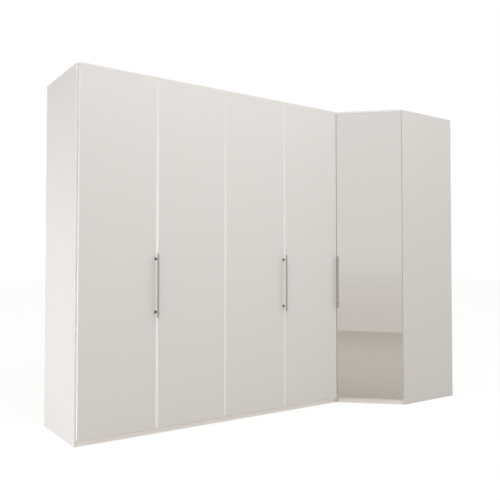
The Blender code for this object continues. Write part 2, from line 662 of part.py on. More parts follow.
def build_handle(name, x, front, parent):
    """A round bar on two feet, standing off the front of a leaf."""
    low = HANDLE_CENTRE_HEIGHT - HANDLE_LENGTH / 2
    high = HANDLE_CENTRE_HEIGHT + HANDLE_LENGTH / 2
    shape = bmesh.new()
    small = HANDLE_BAR_RADIUS - HANDLE_CHAMFER
    add_turned(shape, [(small, low), (HANDLE_BAR_RADIUS, low + HANDLE_CHAMFER),
                       (HANDLE_BAR_RADIUS, high - HANDLE_CHAMFER), (small, high)], FINE_SEGMENTS,
               Matrix.Translation((x, front - HANDLE_STANDOFF, 0.0)))
    bar = add_object(name, shape, BRUSHED_STEEL, parent, smooth=True)
    feet = bmesh.new()
    reach = HANDLE_STANDOFF - HANDLE_BAR_RADIUS + HANDLE_STEM_SINK
    soft = FOOT_ROSE / 4
    for side in (-1, 1):
        place = towards((0.0, -1.0, 0.0), x, front, HANDLE_CENTRE_HEIGHT + side * HANDLE_SPACING / 2)
        add_turned(feet, [(FOOT_ROSE_RADIUS, SEAT), (FOOT_ROSE_RADIUS, FOOT_ROSE - soft),
                          (FOOT_ROSE_RADIUS - soft, FOOT_ROSE), (FOOT_STEM_RADIUS, FOOT_ROSE),
                          (FOOT_STEM_RADIUS, reach)], ROUND_SEGMENTS, place)
    cut(bar, name + "_feet", feet, "UNION")


def knuckle_outline(side):
    """Section of a hinge wing through a knuckle; side is -1 for the left wing, 1 for the right."""
    plate_low = -FOLD_OFFSET + SEAT
    plate_high = plate_low + FOLD_PLATE
    start = -pi / 2 - WING_SPLIT / KNUCKLE_RADIUS
    steps = FINE_SEGMENTS
    points = [(-FOLD_WING_WIDTH, plate_low), (-WING_SPLIT, plate_low)]
    for i in range(steps + 1):
        angle = start + (pi - start) * i / steps
        points.append((KNUCKLE_RADIUS * cos(angle), KNUCKLE_RADIUS * sin(angle)))
    points += [(-KNUCKLE_RADIUS, plate_high), (-FOLD_WING_WIDTH, plate_high)]
    return [(-side * x, y) for x, y in points]


def fold_hinge_lows():
    """Lower ends of the fold hinges of one door pair."""
    span = LEAF_TOP - LEAF_BOTTOM
    return [LEAF_BOTTOM + share * span - FOLD_HINGE_HEIGHT / 2 for share in FOLD_HINGE_SHARES]


def build_fold_wing(name, side, low, parent):
    """One wing of a fold hinge: the left one has the outer knuckles and the pin, the right one the middle."""
    wing = bmesh.new()
    add_prism(wing, knuckle_outline(side), low, low + FOLD_HINGE_HEIGHT)
    piece = add_object(name, wing, ZINC_STEEL, parent)
    plate_high = -FOLD_OFFSET + SEAT + FOLD_PLATE
    reach = KNUCKLE_RADIUS + OVERRUN
    ends = [low + share * FOLD_HINGE_HEIGHT for share in KNUCKLE_SHARES]
    spans = [(ends[1] - SEAT / 2, ends[2] + SEAT / 2)]
    if side > 0:
        spans = [(ends[0] - OVERRUN, ends[1] + SEAT / 2), (ends[2] - SEAT / 2, ends[3] + OVERRUN)]
    slots = bmesh.new()
    for span_low, span_high in spans:
        add_block(slots, (-reach, plate_high, span_low), (reach, reach, span_high))
    cut(piece, name + "_slots", slots)
    core = bmesh.new()
    if side > 0:
        add_turned(core, [(KNUCKLE_BORE_RADIUS, low - OVERRUN),
                          (KNUCKLE_BORE_RADIUS, low + FOLD_HINGE_HEIGHT + OVERRUN)], ROUND_SEGMENTS)
        cut(piece, name + "_bore", core)
    else:
        top = low + FOLD_HINGE_HEIGHT + FOLD_PIN_HEAD
        head_low = low + FOLD_HINGE_HEIGHT - FOLD_PIN_HEAD
        add_turned(core, [(FOLD_PIN_RADIUS, low + FOLD_PIN_HEAD), (FOLD_PIN_RADIUS, head_low),
                          (FOLD_PIN_HEAD_RADIUS, head_low), (FOLD_PIN_HEAD_RADIUS, top)],
                   ROUND_SEGMENTS)
        cut(piece, name + "_pin", core, "UNION")


def build_guide(number, x, parent):
    """The guide pin in the top of a guided leaf, and the roller on it, about the roller's own axis."""
    roller_low = TRACK_LOW + PIN_COLLAR
    roller_high = roller_low + ROLLER_HEIGHT
    head_low = roller_high + RUNNING_CLEARANCE
    shape = bmesh.new()
    add_turned(shape, [(GUIDE_PIN_RADIUS, LEAF_TOP - PIN_SHANK), (GUIDE_PIN_RADIUS, LEAF_TOP + SEAT),
                       (PIN_COLLAR_RADIUS, LEAF_TOP + SEAT),
                       (PIN_COLLAR_RADIUS, roller_low - RUNNING_CLEARANCE),
                       (GUIDE_PIN_RADIUS, roller_low - RUNNING_CLEARANCE), (GUIDE_PIN_RADIUS, head_low),
                       (GUIDE_HEAD_RADIUS, head_low), (GUIDE_HEAD_RADIUS, head_low + GUIDE_HEAD)],
               ROUND_SEGMENTS, Matrix.Translation((x, guide_y(), 0.0)))
    add_object(f"guide_pin_{number}", shape, ZINC_STEEL, parent, smooth=True)
    axis = make_empty(f"roller_{number}_axis", x, guide_y(), 0.0, 0.0, parent)
    shape = bmesh.new()
    outer = circle_outline(ROLLER_RADIUS, FINE_SEGMENTS)
    inner = circle_outline(ROLLER_BORE_RADIUS, FINE_SEGMENTS)
    add_stack(shape, [(outer, roller_low), (outer, roller_high), (inner, roller_high),
                      (inner, roller_low)], closed=True)
    add_object(f"guide_roller_{number}", shape, GREY_NYLON, axis, smooth=True)


def guide_y():
    """Depth of the roller in the frame of the fold axis, in line with the hinge pins."""
    return PIVOT_Y - fold_y()


def fold_y():
    """Plan depth of the fold axis, behind the backs of the closed leaves."""
    return FOLD_OFFSET - BACK_GAP


def build_folding_pair(number, side_name, parent):
    """Two leaves of the run: the hinged leaf, and the guided leaf that folds back onto it."""
    index = number - 1
    axis_x = leaf_left(index) + PIVOT_INSET
    fold_x = leaf_left(index) + LEAF_WIDTH + LEAF_GAP / 2
    hinge_axis = make_empty(f"leaf_{number}_axis", axis_x, PIVOT_Y, 0.0, 0.0, parent)
    front = -PIVOT_DEPTH
    left = -PIVOT_INSET
    right = left + LEAF_WIDTH
    build_leaf(f"door_leaf_{number}", left, right, front, GLASS_WHITE, hinge_bores(0.0), hinge_axis)
    build_top_pin(f"top_pivot_pin_{number}", hinge_axis)
    build_handle(f"handle_{number}", right - HANDLE_INSET, front, hinge_axis)
    wing_place = make_empty(f"leaf_{number}_hinge_place", fold_x - axis_x, fold_y() - PIVOT_Y, 0.0, 0.0,
                            hinge_axis)
    guided = number + 1
    fold_axis = make_empty(f"leaf_{guided}_axis", fold_x - axis_x, fold_y() - PIVOT_Y, 0.0, 0.0,
                           hinge_axis)
    left = LEAF_GAP / 2
    right = left + LEAF_WIDTH
    roller_x = right - PIVOT_INSET
    bore = [(roller_x, guide_y(), LEAF_TOP - PIN_SHANK - SEAT, LEAF_TOP + OVERRUN,
             GUIDE_PIN_RADIUS + RUNNING_CLEARANCE)]
    build_leaf(f"door_leaf_{guided}", left, right, -FOLD_OFFSET - LEAF_THICKNESS, GLASS_WHITE, bore,
               fold_axis)
    for level, low in zip(("low", "middle", "high"), fold_hinge_lows()):
        build_fold_wing(f"{side_name}_{level}_hinge_pin_wing", -1, low, wing_place)
        build_fold_wing(f"{side_name}_{level}_hinge_loose_wing", 1, low, fold_axis)
    build_guide(guided, roller_x, fold_axis)


def build_mirror_door(parent):
    """The diagonal door, hung at its right edge, with a mirror pane."""
    x, y = mirror_axis_place()
    axis = make_empty("mirror_door_axis", x, y, 0.0, radians(-45), parent)
    right = PIVOT_INSET
    left = right - MIRROR_WIDTH
    build_leaf("mirror_door", left, right, -PIVOT_DEPTH, MIRROR_SILVER, hinge_bores(0.0), axis)
    build_top_pin("mirror_door_top_pin", axis)
    build_handle("mirror_door_handle", left + HANDLE_INSET, -PIVOT_DEPTH, axis)


def add_rail(shape, length, place):
    """An oval tube, open at both ends."""
    outer = oval_outline(RAIL_WIDTH, RAIL_HEIGHT, FINE_SEGMENTS)
    inner = oval_outline(RAIL_WIDTH - 2 * RAIL_WALL, RAIL_HEIGHT - 2 * RAIL_WALL, FINE_SEGMENTS)
    add_stack(shape, [(outer, 0.0), (outer, length), (inner, length), (inner, 0.0)], place, closed=True)


def add_socket(shape, place):
    """A flanged cup that holds the end of a rail; the wall's face is at Z = 0."""
    grow = 2 * (SOCKET_WALL + RUNNING_CLEARANCE)
    pocket = 2 * RUNNING_CLEARANCE
    flange = oval_outline(RAIL_WIDTH + grow + SOCKET_FLANGE, RAIL_HEIGHT + grow + SOCKET_FLANGE,
                          FINE_SEGMENTS)
    collar = oval_outline(RAIL_WIDTH + grow, RAIL_HEIGHT + grow, FINE_SEGMENTS)
    hollow = oval_outline(RAIL_WIDTH + pocket, RAIL_HEIGHT + pocket, FINE_SEGMENTS)
    add_stack(shape, [(flange, -OVERRUN), (flange, SOCKET_BASE), (collar, SOCKET_BASE),
                      (collar, SOCKET_DEPTH), (hollow, SOCKET_DEPTH), (hollow, SOCKET_BASE)], place)


def build_fittings(parent):
    """Hat shelves and clothes rails."""
    wall_left = RUN_CENTRE - PANEL / 2
    wall_right = RUN_CENTRE + PANEL / 2
    end_gap = SOCKET_BASE + SEAT
    rooms = (("left", PANEL, wall_left), ("right", wall_right, RUN_WIDTH - PANEL))
    for name, left, right in rooms:
        shape = bmesh.new()
        add_block(shape, (left + SHELF_SIDE_GAP, SHELF_SETBACK, SHELF_LOW),
                  (right - SHELF_SIDE_GAP, BOARD_REAR, SHELF_TOP_HEIGHT))
        round_arrises(add_object(f"hat_shelf_{name}", shape, MATT_WHITE, parent), PANEL_ARRIS)
        shape = bmesh.new()
        add_rail(shape, right - left - 2 * end_gap, along_x(left + end_gap, rail_y(), RAIL_CENTRE_HEIGHT))
        add_object(f"clothes_rail_{name}", shape, ZINC_STEEL, parent, smooth=True)
    shape = bmesh.new()
    add_rail(shape, corner_rail_length(),
             along_x(CORNER_LEFT + PANEL + end_gap, rail_y(), RAIL_CENTRE_HEIGHT))
    add_object("corner_clothes_rail", shape, ZINC_STEEL, parent, smooth=True)


def corner_rail_length():
    """Length of the corner unit's rail, from its socket to its hanger."""
    return CORNER_RAIL_SHARE * CORNER_SQUARE


def add_rail_hanger(shelf):
    """Join the bracket that carries the free end of the corner rail under its shelf."""
    half_width = RAIL_WIDTH / 2 + SOCKET_WALL + RUNNING_CLEARANCE
    low = -RAIL_HEIGHT / 2 - SOCKET_WALL - RUNNING_CLEARANCE
    high = RAIL_DROP
    foot = half_width + SOCKET_FLANGE
    outline = [(-half_width, low), (half_width, low), (half_width, high - HANGER_FOOT),
               (foot, high - HANGER_FOOT), (foot, high + OVERRUN), (-foot, high + OVERRUN),
               (-foot, high - HANGER_FOOT), (-half_width, high - HANGER_FOOT)]
    rail_end = CORNER_LEFT + PANEL + SOCKET_BASE + SEAT + corner_rail_length()
    place = along_x(rail_end - HANGER_LENGTH, rail_y(), RAIL_CENTRE_HEIGHT)
    body = bmesh.new()
    add_prism(body, outline, 0.0, HANGER_LENGTH + SOCKET_BASE, place)
    cut(shelf, "corner_rail_hanger", body, "UNION")
    pocket = bmesh.new()
    add_stack(pocket, [(oval_outline(RAIL_WIDTH + 2 * RUNNING_CLEARANCE,
                                     RAIL_HEIGHT + 2 * RUNNING_CLEARANCE, FINE_SEGMENTS), height)
                       for height in (-OVERRUN, HANGER_LENGTH + SEAT)], place)
    cut(shelf, "corner_rail_hanger_pocket", pocket)


def main():
    """Build the whole wardrobe under one empty."""
    clear_scene()
    wardrobe = make_empty("wardrobe", -ORIGIN_X, -ORIGIN_Y, 0.0, 0.0, None)
    build_run_carcass(wardrobe)
    build_corner_carcass(wardrobe)
    build_pivots(wardrobe)
    build_fittings(wardrobe)
    build_folding_pair(1, "left_pair", wardrobe)
    build_folding_pair(3, "right_pair", wardrobe)
    build_mirror_door(wardrobe)


main()
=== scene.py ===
"""Looks of the corner wardrobe over its CAD frame: finishes, detailed fittings, studio and camera.

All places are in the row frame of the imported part, in metres.
"""
from __future__ import annotations

import json
import logging
from abc import ABC, abstractmethod
from dataclasses import dataclass, field, replace
from enum import Enum
from functools import reduce
from math import cos, pi, radians, sin, sqrt
from typing import Any, Iterable, Mapping, Optional, Union

import bpy
import numpy as np
from mathutils import Matrix, Vector

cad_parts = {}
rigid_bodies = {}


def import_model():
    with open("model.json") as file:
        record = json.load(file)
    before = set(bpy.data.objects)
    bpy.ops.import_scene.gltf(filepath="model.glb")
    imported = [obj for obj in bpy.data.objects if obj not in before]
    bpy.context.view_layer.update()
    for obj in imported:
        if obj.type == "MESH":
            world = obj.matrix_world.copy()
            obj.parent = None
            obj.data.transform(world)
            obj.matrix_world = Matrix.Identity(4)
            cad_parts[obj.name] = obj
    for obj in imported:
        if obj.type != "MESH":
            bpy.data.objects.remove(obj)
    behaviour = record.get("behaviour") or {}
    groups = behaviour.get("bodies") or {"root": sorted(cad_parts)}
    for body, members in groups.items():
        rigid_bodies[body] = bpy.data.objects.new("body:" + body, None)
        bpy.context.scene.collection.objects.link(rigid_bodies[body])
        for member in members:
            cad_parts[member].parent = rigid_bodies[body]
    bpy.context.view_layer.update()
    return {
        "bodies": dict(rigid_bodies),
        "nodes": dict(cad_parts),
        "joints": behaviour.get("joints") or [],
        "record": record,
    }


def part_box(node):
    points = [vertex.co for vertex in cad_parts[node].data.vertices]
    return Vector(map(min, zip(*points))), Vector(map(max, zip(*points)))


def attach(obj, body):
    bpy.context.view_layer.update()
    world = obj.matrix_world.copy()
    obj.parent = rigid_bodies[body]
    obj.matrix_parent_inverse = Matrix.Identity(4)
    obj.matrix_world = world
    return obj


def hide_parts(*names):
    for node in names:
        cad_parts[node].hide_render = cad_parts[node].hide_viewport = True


Colour = tuple[float, float, float]
Direction = tuple[float, float, float]
Point = tuple[float, float, float]
Number = Union["Value", float]

LOG = logging.getLogger("wardrobe")
SHARP_ANGLE = radians(35)
CROSS_ARMS = 4

DIAGONAL = 1 / sqrt(2)
RIGHT: Direction = (1.0, 0.0, 0.0)
LEFT: Direction = (-1.0, 0.0, 0.0)
REARWARD: Direction = (0.0, 1.0, 0.0)
UPWARD: Direction = (0.0, 0.0, 1.0)
SLANT: Direction = (DIAGONAL, DIAGONAL, 0.0)
EVEN: Direction = (1.0, 1.0, 1.0)
WHITE: Colour = (1.0, 1.0, 1.0)


class Body(Enum):
    """Bodies of the wardrobe that pieces ride on."""

    CARCASS = "carcass"
    LEAF_1 = "leaf_1"
    LEAF_2 = "leaf_2"
    LEAF_3 = "leaf_3"
    LEAF_4 = "leaf_4"
    ROLLER_2 = "roller_2"
    ROLLER_4 = "roller_4"
    MIRROR_DOOR = "mirror_door"


class Slot(Enum):
    """Material slots of the record."""

    STEEL_FITTINGS = "steel_fittings"
    RAIL_TUBE = "rail_tube"
    HANDLE_METAL = "handle_metal"
    ROLLER_PLASTIC = "roller_plastic"
    WHITE_GLASS = "white_glass"
    MIRROR_PANE = "mirror_pane"
    LEAF_BOARD = "leaf_board"


class Ends(Enum):
    """How a grid of rings ends: closed by flat caps, or joined last to first."""

    CAPPED = "capped"
    JOINED = "joined"


class Facing(Enum):
    """Way that a shape drawn on +Z points; the value is the matrix of its turn."""

    UP = ((1.0, 0.0, 0.0), (0.0, 1.0, 0.0), (0.0, 0.0, 1.0))
    DOWN = ((1.0, 0.0, 0.0), (0.0, -1.0, 0.0), (0.0, 0.0, -1.0))
    FRONT = ((1.0, 0.0, 0.0), (0.0, 0.0, -1.0), (0.0, 1.0, 0.0))
    BACK = ((1.0, 0.0, 0.0), (0.0, 0.0, 1.0), (0.0, -1.0, 0.0))


class Mix(Enum):
    """What a Mix node mixes; the value is its data type, then its sockets for both inputs and the result."""

    NUMBER = ("FLOAT", 2, 3, 0)
    COLOUR = ("RGBA", 6, 7, 2)


class Ray(Enum):
    """Kind of ray that a stage material or the world tells apart; the value names its socket."""

    CAMERA = "Is Camera Ray"
    GLOSSY = "Is Glossy Ray"
    TRANSMISSION = "Is Transmission Ray"


def shaded(colour: Colour, share: float) -> Colour:
    """Return a colour with each channel multiplied by share."""
    return (colour[0] * share, colour[1] * share, colour[2] * share)


@dataclass(frozen=True)
class Value:
    """A number, colour or vector that varies over a surface, with arithmetic on it.

    Each operator adds one Math node: the result is the operation's value at every point.
    """

    graph: "Graph"
    socket: bpy.types.NodeSocket

    def _math(self, operation: str, *terms: Number) -> "Value":
        """Return the result of a Math node of the terms in their order."""
        return self.graph.node("ShaderNodeMath", {"operation": operation}, dict(enumerate(terms)))

    def __add__(self, other: Number) -> "Value":
        """Sum."""
        return self._math("ADD", self, other)

    def __radd__(self, other: Number) -> "Value":
        """Sum with a number on the left."""
        return self._math("ADD", other, self)

    def __sub__(self, other: Number) -> "Value":
        """Difference."""
        return self._math("SUBTRACT", self, other)

    def __rsub__(self, other: Number) -> "Value":
        """Difference with a number on the left."""
        return self._math("SUBTRACT", other, self)

    def __mul__(self, other: Number) -> "Value":
        """Product."""
        return self._math("MULTIPLY", self, other)

    def __rmul__(self, other: Number) -> "Value":
        """Product with a number on the left."""
        return self._math("MULTIPLY", other, self)

    def __truediv__(self, other: Number) -> "Value":
        """Quotient."""
        return self._math("DIVIDE", self, other)

    def __rtruediv__(self, other: Number) -> "Value":
        """Quotient with a number on the left."""
        return self._math("DIVIDE", other, self)

    def size(self) -> "Value":
        """Size without its sign."""
        return self._math("ABSOLUTE", self)

    def root(self) -> "Value":
        """Square root."""
        return self._math("SQRT", self)

    def remainder(self) -> "Value":
        """Part behind the decimal point."""
        return self._math("FRACT", self)

    def least(self, other: Number) -> "Value":
        """Smaller of two."""
        return self._math("MINIMUM", self, other)

    def most(self, other: Number) -> "Value":
        """Greater of two."""
        return self._math("MAXIMUM", self, other)

    def above(self, level: Number) -> "Value":
        """One where the value is over the level, else zero."""
        return self._math("GREATER_THAN", self, level)

    def below(self, level: Number) -> "Value":
        """One where the value is under the level, else zero."""
        return self._math("LESS_THAN", self, level)

    def between(self, low: float, high: float) -> "Value":
        """One where the value lies between two levels, else zero."""
        return self.above(low) * self.below(high)

    def rise(self, low: float, high: float) -> "Value":
        """Smooth step: zero up to low, one from high on."""
        return self.graph.node("ShaderNodeMapRange", {"interpolation_type": "SMOOTHSTEP"},
                               {"Value": self, "From Min": low, "From Max": high})

    def around(self, middle: Number, spread: float) -> "Value":
        """Numbers spread evenly round a middle, from a pattern between zero and one."""
        return middle + spread * (self - 0.5)

    def nearest(self, places: Iterable[float]) -> "Value":
        """Distance from the nearest of some places."""
        return reduce(Value.least, [(self - place).size() for place in places])


@dataclass(frozen=True)
class Look:
    """What a finish feeds the shader; relief is a height in metres."""

    colour: Union[Value, Colour]
    roughness: Number
    metallic: Number = 0.0
    relief: Optional[Number] = None


@dataclass(frozen=True)
class Pattern:
    """Soft random pattern: blobs in a metre, finer layers, and the factors on the three coordinates."""

    scale: float
    detail: float = 2.0
    stretch: Direction = EVEN


class Graph:
    """Nodes of one material or of the world."""

    def __init__(self, owner: Union[bpy.types.Material, bpy.types.World]) -> None:
        """Start with no nodes.

        Args:
            owner: Material or world that the nodes belong to.
        """
        owner.use_nodes = True
        self.owner = owner
        self.tree = owner.node_tree
        self.tree.nodes.clear()
        self._position: Optional[Value] = None
        self._noises: dict[Pattern, Value] = {}

    def place(self, kind: str, settings: Optional[Mapping[str, Any]] = None,
              inputs: Optional[Mapping[Union[str, int], Any]] = None) -> bpy.types.Node:
        """Place a node: its settings first, then its inputs.

        Args:
            kind: Type of the node.
            settings: Properties of the node.
            inputs: Values or numbers by socket name or number.

        Returns:
            The new node.
        """
        node = self.tree.nodes.new(kind)
        for key, setting in (settings or {}).items():
            setattr(node, key, setting)
        for key, given in (inputs or {}).items():
            self.feed(node.inputs[key], given)
        return node

    def node(self, kind: str, settings: Optional[Mapping[str, Any]] = None,
             inputs: Optional[Mapping[Union[str, int], Any]] = None,
             output: Union[str, int] = 0) -> Value:
        """Place a node, and return the value at one of its outputs."""
        return Value(self, self.place(kind, settings, inputs).outputs[output])

    def feed(self, socket: bpy.types.NodeSocket, given: Any) -> None:
        """Link a value to a socket, or write a plain number or colour on it.

        Args:
            socket: Socket that is fed.
            given: Value, number, colour or vector.
        """
        if isinstance(given, Value):
            self.tree.links.new(given.socket, socket)
        elif isinstance(given, tuple) and socket.type == "RGBA":
            socket.default_value = (*given, 1.0)
        else:
            socket.default_value = given

    def position(self) -> Value:
        """Object coordinates, which are those of the row frame.

        Returns:
            The place on the surface.
        """
        if self._position is None:
            self._position = self.node("ShaderNodeTexCoord", output="Object")
        return self._position

    def along(self, direction: Direction, offset: float = 0.0) -> Value:
        """Distance along a direction: the dot product of place and direction, less an offset.

        Args:
            direction: Direction of length one.
            offset: Distance at which the result is zero.

        Returns:
            The distance in metres.
        """
        distance = self.node("ShaderNodeVectorMath", {"operation": "DOT_PRODUCT"},
                             {0: self.position(), 1: direction}, "Value")
        return distance - offset if offset else distance

    def noise(self, pattern: Pattern) -> Value:
        """Draw a pattern once: noise at the place, with each coordinate times its own factor.

        Args:
            pattern: Scale, layers and factors.

        Returns:
            Soft random values between zero and one.
        """
        if pattern not in self._noises:
            place = self.node("ShaderNodeVectorMath", {"operation": "MULTIPLY"},
                              {0: self.position(), 1: pattern.stretch})
            self._noises[pattern] = self.node("ShaderNodeTexNoise", None, {
                "Vector": place, "Scale": pattern.scale, "Detail": pattern.detail})
        return self._noises[pattern]

    def blend(self, share: Value, low: Any, high: Any, mix: Mix) -> Any:
        """Mix two numbers or two colours. Where both are the same, that one is returned as it is.

        Args:
            share: Share of the second one.
            low: Number or colour where the share is zero.
            high: Number or colour where the share is one.
            mix: What is mixed.

        Returns:
            The mixed value.
        """
        if low == high:
            return low
        kind, first, second, result = mix.value
        return self.node("ShaderNodeMix", {"data_type": kind}, {0: share, first: low, second: high}, result)

    def mottled(self, colour: Colour, shade: float, pattern: Value) -> Value:
        """Darken a colour by a pattern: the full colour where it is one, a share of it where it is zero."""
        return self.blend(pattern, shaded(colour, shade), colour, Mix.COLOUR)

    def over(self, share: Value, under: Look, upper: Look) -> Look:
        """Lay one look over another where the share is one.

        Args:
            share: Share of the upper look.
            under: Look where the share is zero.
            upper: Look where the share is one.

        Returns:
            The look of both.
        """
        relief = self.blend(share, under.relief or 0.0, upper.relief or 0.0, Mix.NUMBER)
        return Look(self.blend(share, under.colour, upper.colour, Mix.COLOUR),
                    self.blend(share, under.roughness, upper.roughness, Mix.NUMBER),
                    self.blend(share, under.metallic, upper.metallic, Mix.NUMBER),
                    relief or None)

    def show(self, shader: Value) -> None:
        """Link a shader to a new output node of the material or the world."""
        kind = "World" if isinstance(self.owner, bpy.types.World) else "Material"
        self.place("ShaderNodeOutput" + kind, None, {"Surface": shader})

    def paint(self, look: Look) -> None:
        """Feed a look to the standard shader, its relief through a Bump node, and show it.

        Args:
            look: Look of the surface.
        """
        inputs = {"Base Color": look.colour, "Roughness": look.roughness, "Metallic": look.metallic}
        if look.relief is not None:
            inputs["Normal"] = self.node("ShaderNodeBump", None,
                                         {"Strength": 1.0, "Distance": 1.0, "Height": look.relief}, "Normal")
        self.show(self.node("ShaderNodeBsdfPrincipled", None, inputs, "BSDF"))


@dataclass(frozen=True)
class Finish(ABC):
    """A finish that a maker would name, as a material."""

    name: str

    @abstractmethod
    def look(self, graph: Graph) -> Look:
        """Build the nodes of the finish."""

    def material(self) -> bpy.types.Material:
        """Make the material, or find the one made before.

        Returns:
            The material of the finish's name.
        """
        made = bpy.data.materials.get(self.name)
        if made is None:
            made = bpy.data.materials.new(self.name)
            graph = Graph(made)
            graph.paint(self.look(graph))
        return made


@dataclass(frozen=True)
class Textured(Finish):
    """Finish of one material, whose colour, gloss and height follow soft patterns.

    The shade is the share of the colour that stays where the tone pattern is zero. The spread is how much
    the roughness varies, and the height is that of the relief in metres. Gloss and relief that have no
    pattern of their own follow the tone.
    """

    colour: Colour
    roughness: float
    tone: Pattern
    shade: float
    spread: float
    height: float
    gloss: Optional[Pattern] = None
    relief: Optional[Pattern] = None
    metallic: float = 0.0

    def look(self, graph: Graph) -> Look:
        """Vary the colour, the roughness and the relief with their patterns.

        Args:
            graph: Graph of the material.

        Returns:
            The look of the finish.
        """
        tone, gloss, relief = (graph.noise(pattern or self.tone)
                               for pattern in (self.tone, self.gloss, self.relief))
        return Look(graph.mottled(self.colour, self.shade, tone),
                    gloss.around(self.roughness, self.spread), self.metallic, self.height * relief)


@dataclass(frozen=True)
class Melamine(Textured):
    """Melamine-faced board: matt, with a faint cloudiness and a fine pearl in gloss and relief."""

    colour: Colour = (0.652, 0.632, 0.620)
    roughness: float = 0.48
    tone: Pattern = Pattern(2.3, 3.0)
    shade: float = 0.988
    spread: float = 0.1
    height: float = 0.000008
    gloss: Pattern = Pattern(900.0)
    relief: Pattern = Pattern(900.0)


@dataclass(frozen=True)
class Lacquer(Textured):
    """Satin lacquer with a slight orange peel."""

    colour: Colour = (0.80, 0.79, 0.775)
    roughness: float = 0.30
    tone: Pattern = Pattern(260.0)
    shade: float = 0.995
    spread: float = 0.06
    height: float = 0.000004


@dataclass(frozen=True)
class PaintedLightLacquer(Lacquer):
    """Lacquer of the white joints, with painted light: brightest near the floor, with painted shade towards
    the top.
    """

    shaded_top_colour: Colour = (0.775, 0.76, 0.745)
    low: float = 1.05
    high: float = 2.4

    def look(self, graph: Graph) -> Look:
        """Blend the lit lacquer into the painted-shade colour of the top with the height.

        Args:
            graph: Graph of the material.

        Returns:
            The look of the graded lacquer.
        """
        lit_look = super().look(graph)
        # painted light and shade: the joints are brightest near the floor, where the low light falls, and
        # darker towards the top
        share = graph.along(UPWARD).rise(self.low, self.high)
        return graph.over(share, lit_look, replace(lit_look, colour=self.shaded_top_colour))


@dataclass(frozen=True)
class PaintedGlass(Textured):
    """Glass lacquered on its back: even colour under a smooth face with wipe marks and a faint wave."""

    colour: Colour = (0.706, 0.690, 0.681)
    roughness: float = 0.075
    tone: Pattern = Pattern(5.0, 4.0, (1.0, 1.0, 0.35))
    shade: float = 0.994
    spread: float = 0.05
    height: float = 0.00005
    relief: Pattern = Pattern(2.6, 1.0)


@dataclass(frozen=True)
class MirrorGlass(Finish):
    """Silvered float glass: a clear mirror with a ground edge."""

    along: Direction
    left: float
    right: float
    low: float
    high: float
    colour: Colour = (0.905, 0.90, 0.884)
    roughness: float = 0.015
    dust: Pattern = Pattern(7.0, 4.0)
    dust_gloss: float = 0.02
    wave: Pattern = Pattern(2.2, 1.0)
    wave_height: float = 0.00003
    edge: Look = Look((0.62, 0.68, 0.66), 0.22, 0.85)
    edge_width: float = 0.0018

    def look(self, graph: Graph) -> Look:
        """Clear silver inside, a duller ground edge where the nearest side is closer than its width.

        Args:
            graph: Graph of the material.

        Returns:
            The look of the mirror.
        """
        place = graph.along(self.along)
        height = graph.along(UPWARD)
        nearest = (place - self.left).least(self.right - place).least(
            (height - self.low).least(self.high - height))
        silver = Look(self.colour, self.roughness + self.dust_gloss * graph.noise(self.dust), 1.0,
                      self.wave_height * graph.noise(self.wave))
        return graph.over(nearest.below(self.edge_width), silver, self.edge)


@dataclass(frozen=True)
class BrushedMetal(Textured):
    """Metal brushed along one direction: fine streaks in colour, gloss and relief, and touch marks."""

    shade: float = 0.86
    spread: float = 0.14
    height: float = 0.000003
    metallic: float = 1.0
    touch: Pattern = Pattern(14.0, 3.0)
    touch_spread: float = 0.06

    def look(self, graph: Graph) -> Look:
        """Vary the gloss of the streaks once more with the touch marks.

        Args:
            graph: Graph of the material.

        Returns:
            The look of the metal.
        """
        streaked = super().look(graph)
        gloss = graph.noise(self.touch).around(streaked.roughness, self.touch_spread)
        return replace(streaked, roughness=gloss)


@dataclass(frozen=True)
class PlatedSteel(Textured):
    """Steel with a plated coat: slightly clouded, with fine rolling marks."""

    colour: Colour = (0.62, 0.62, 0.60)
    roughness: float = 0.30
    tone: Pattern = Pattern(90.0, 4.0)
    shade: float = 0.84
    spread: float = 0.16
    height: float = 0.000002
    relief: Pattern = Pattern(1500.0)
    metallic: float = 1.0


@dataclass(frozen=True)
class MouldedNylon(Textured):
    """Moulded nylon: dull, with a fine spark-eroded grain."""

    colour: Colour = (0.34, 0.34, 0.345)
    roughness: float = 0.52
    tone: Pattern = Pattern(1800.0, 3.0)
    shade: float = 0.92
    spread: float = 0.1
    height: float = 0.000006


@dataclass(frozen=True)
class RawFibreboard(Finish):
    """Bare hardboard: brown, with short fibres pressed flat."""

    colour: Colour = (0.33, 0.215, 0.125)
    roughness: float = 0.72
    fibre: Pattern = Pattern(420.0, 4.0, (1.0, 1.0, 0.3))
    fibre_share: float = 0.6
    fibre_gloss: float = 0.12
    fibre_height: float = 0.00002
    patch: Pattern = Pattern(12.0, 3.0)
    dark: float = 0.62
    pale: float = 1.25

    def look(self, graph: Graph) -> Look:
        """Let fibres and larger patches, added by their shares, change the colour between dark and pale.

        Args:
            graph: Graph of the material.

        Returns:
            The look of the hardboard.
        """
        fibre = graph.noise(self.fibre)
        both = self.fibre_share * fibre + (1 - self.fibre_share) * graph.noise(self.patch)
        colour = graph.blend(both, shaded(self.colour, self.dark), shaded(self.colour, self.pale), Mix.COLOUR)
        return Look(colour, fibre.around(self.roughness, self.fibre_gloss), 0.0, self.fibre_height * fibre)


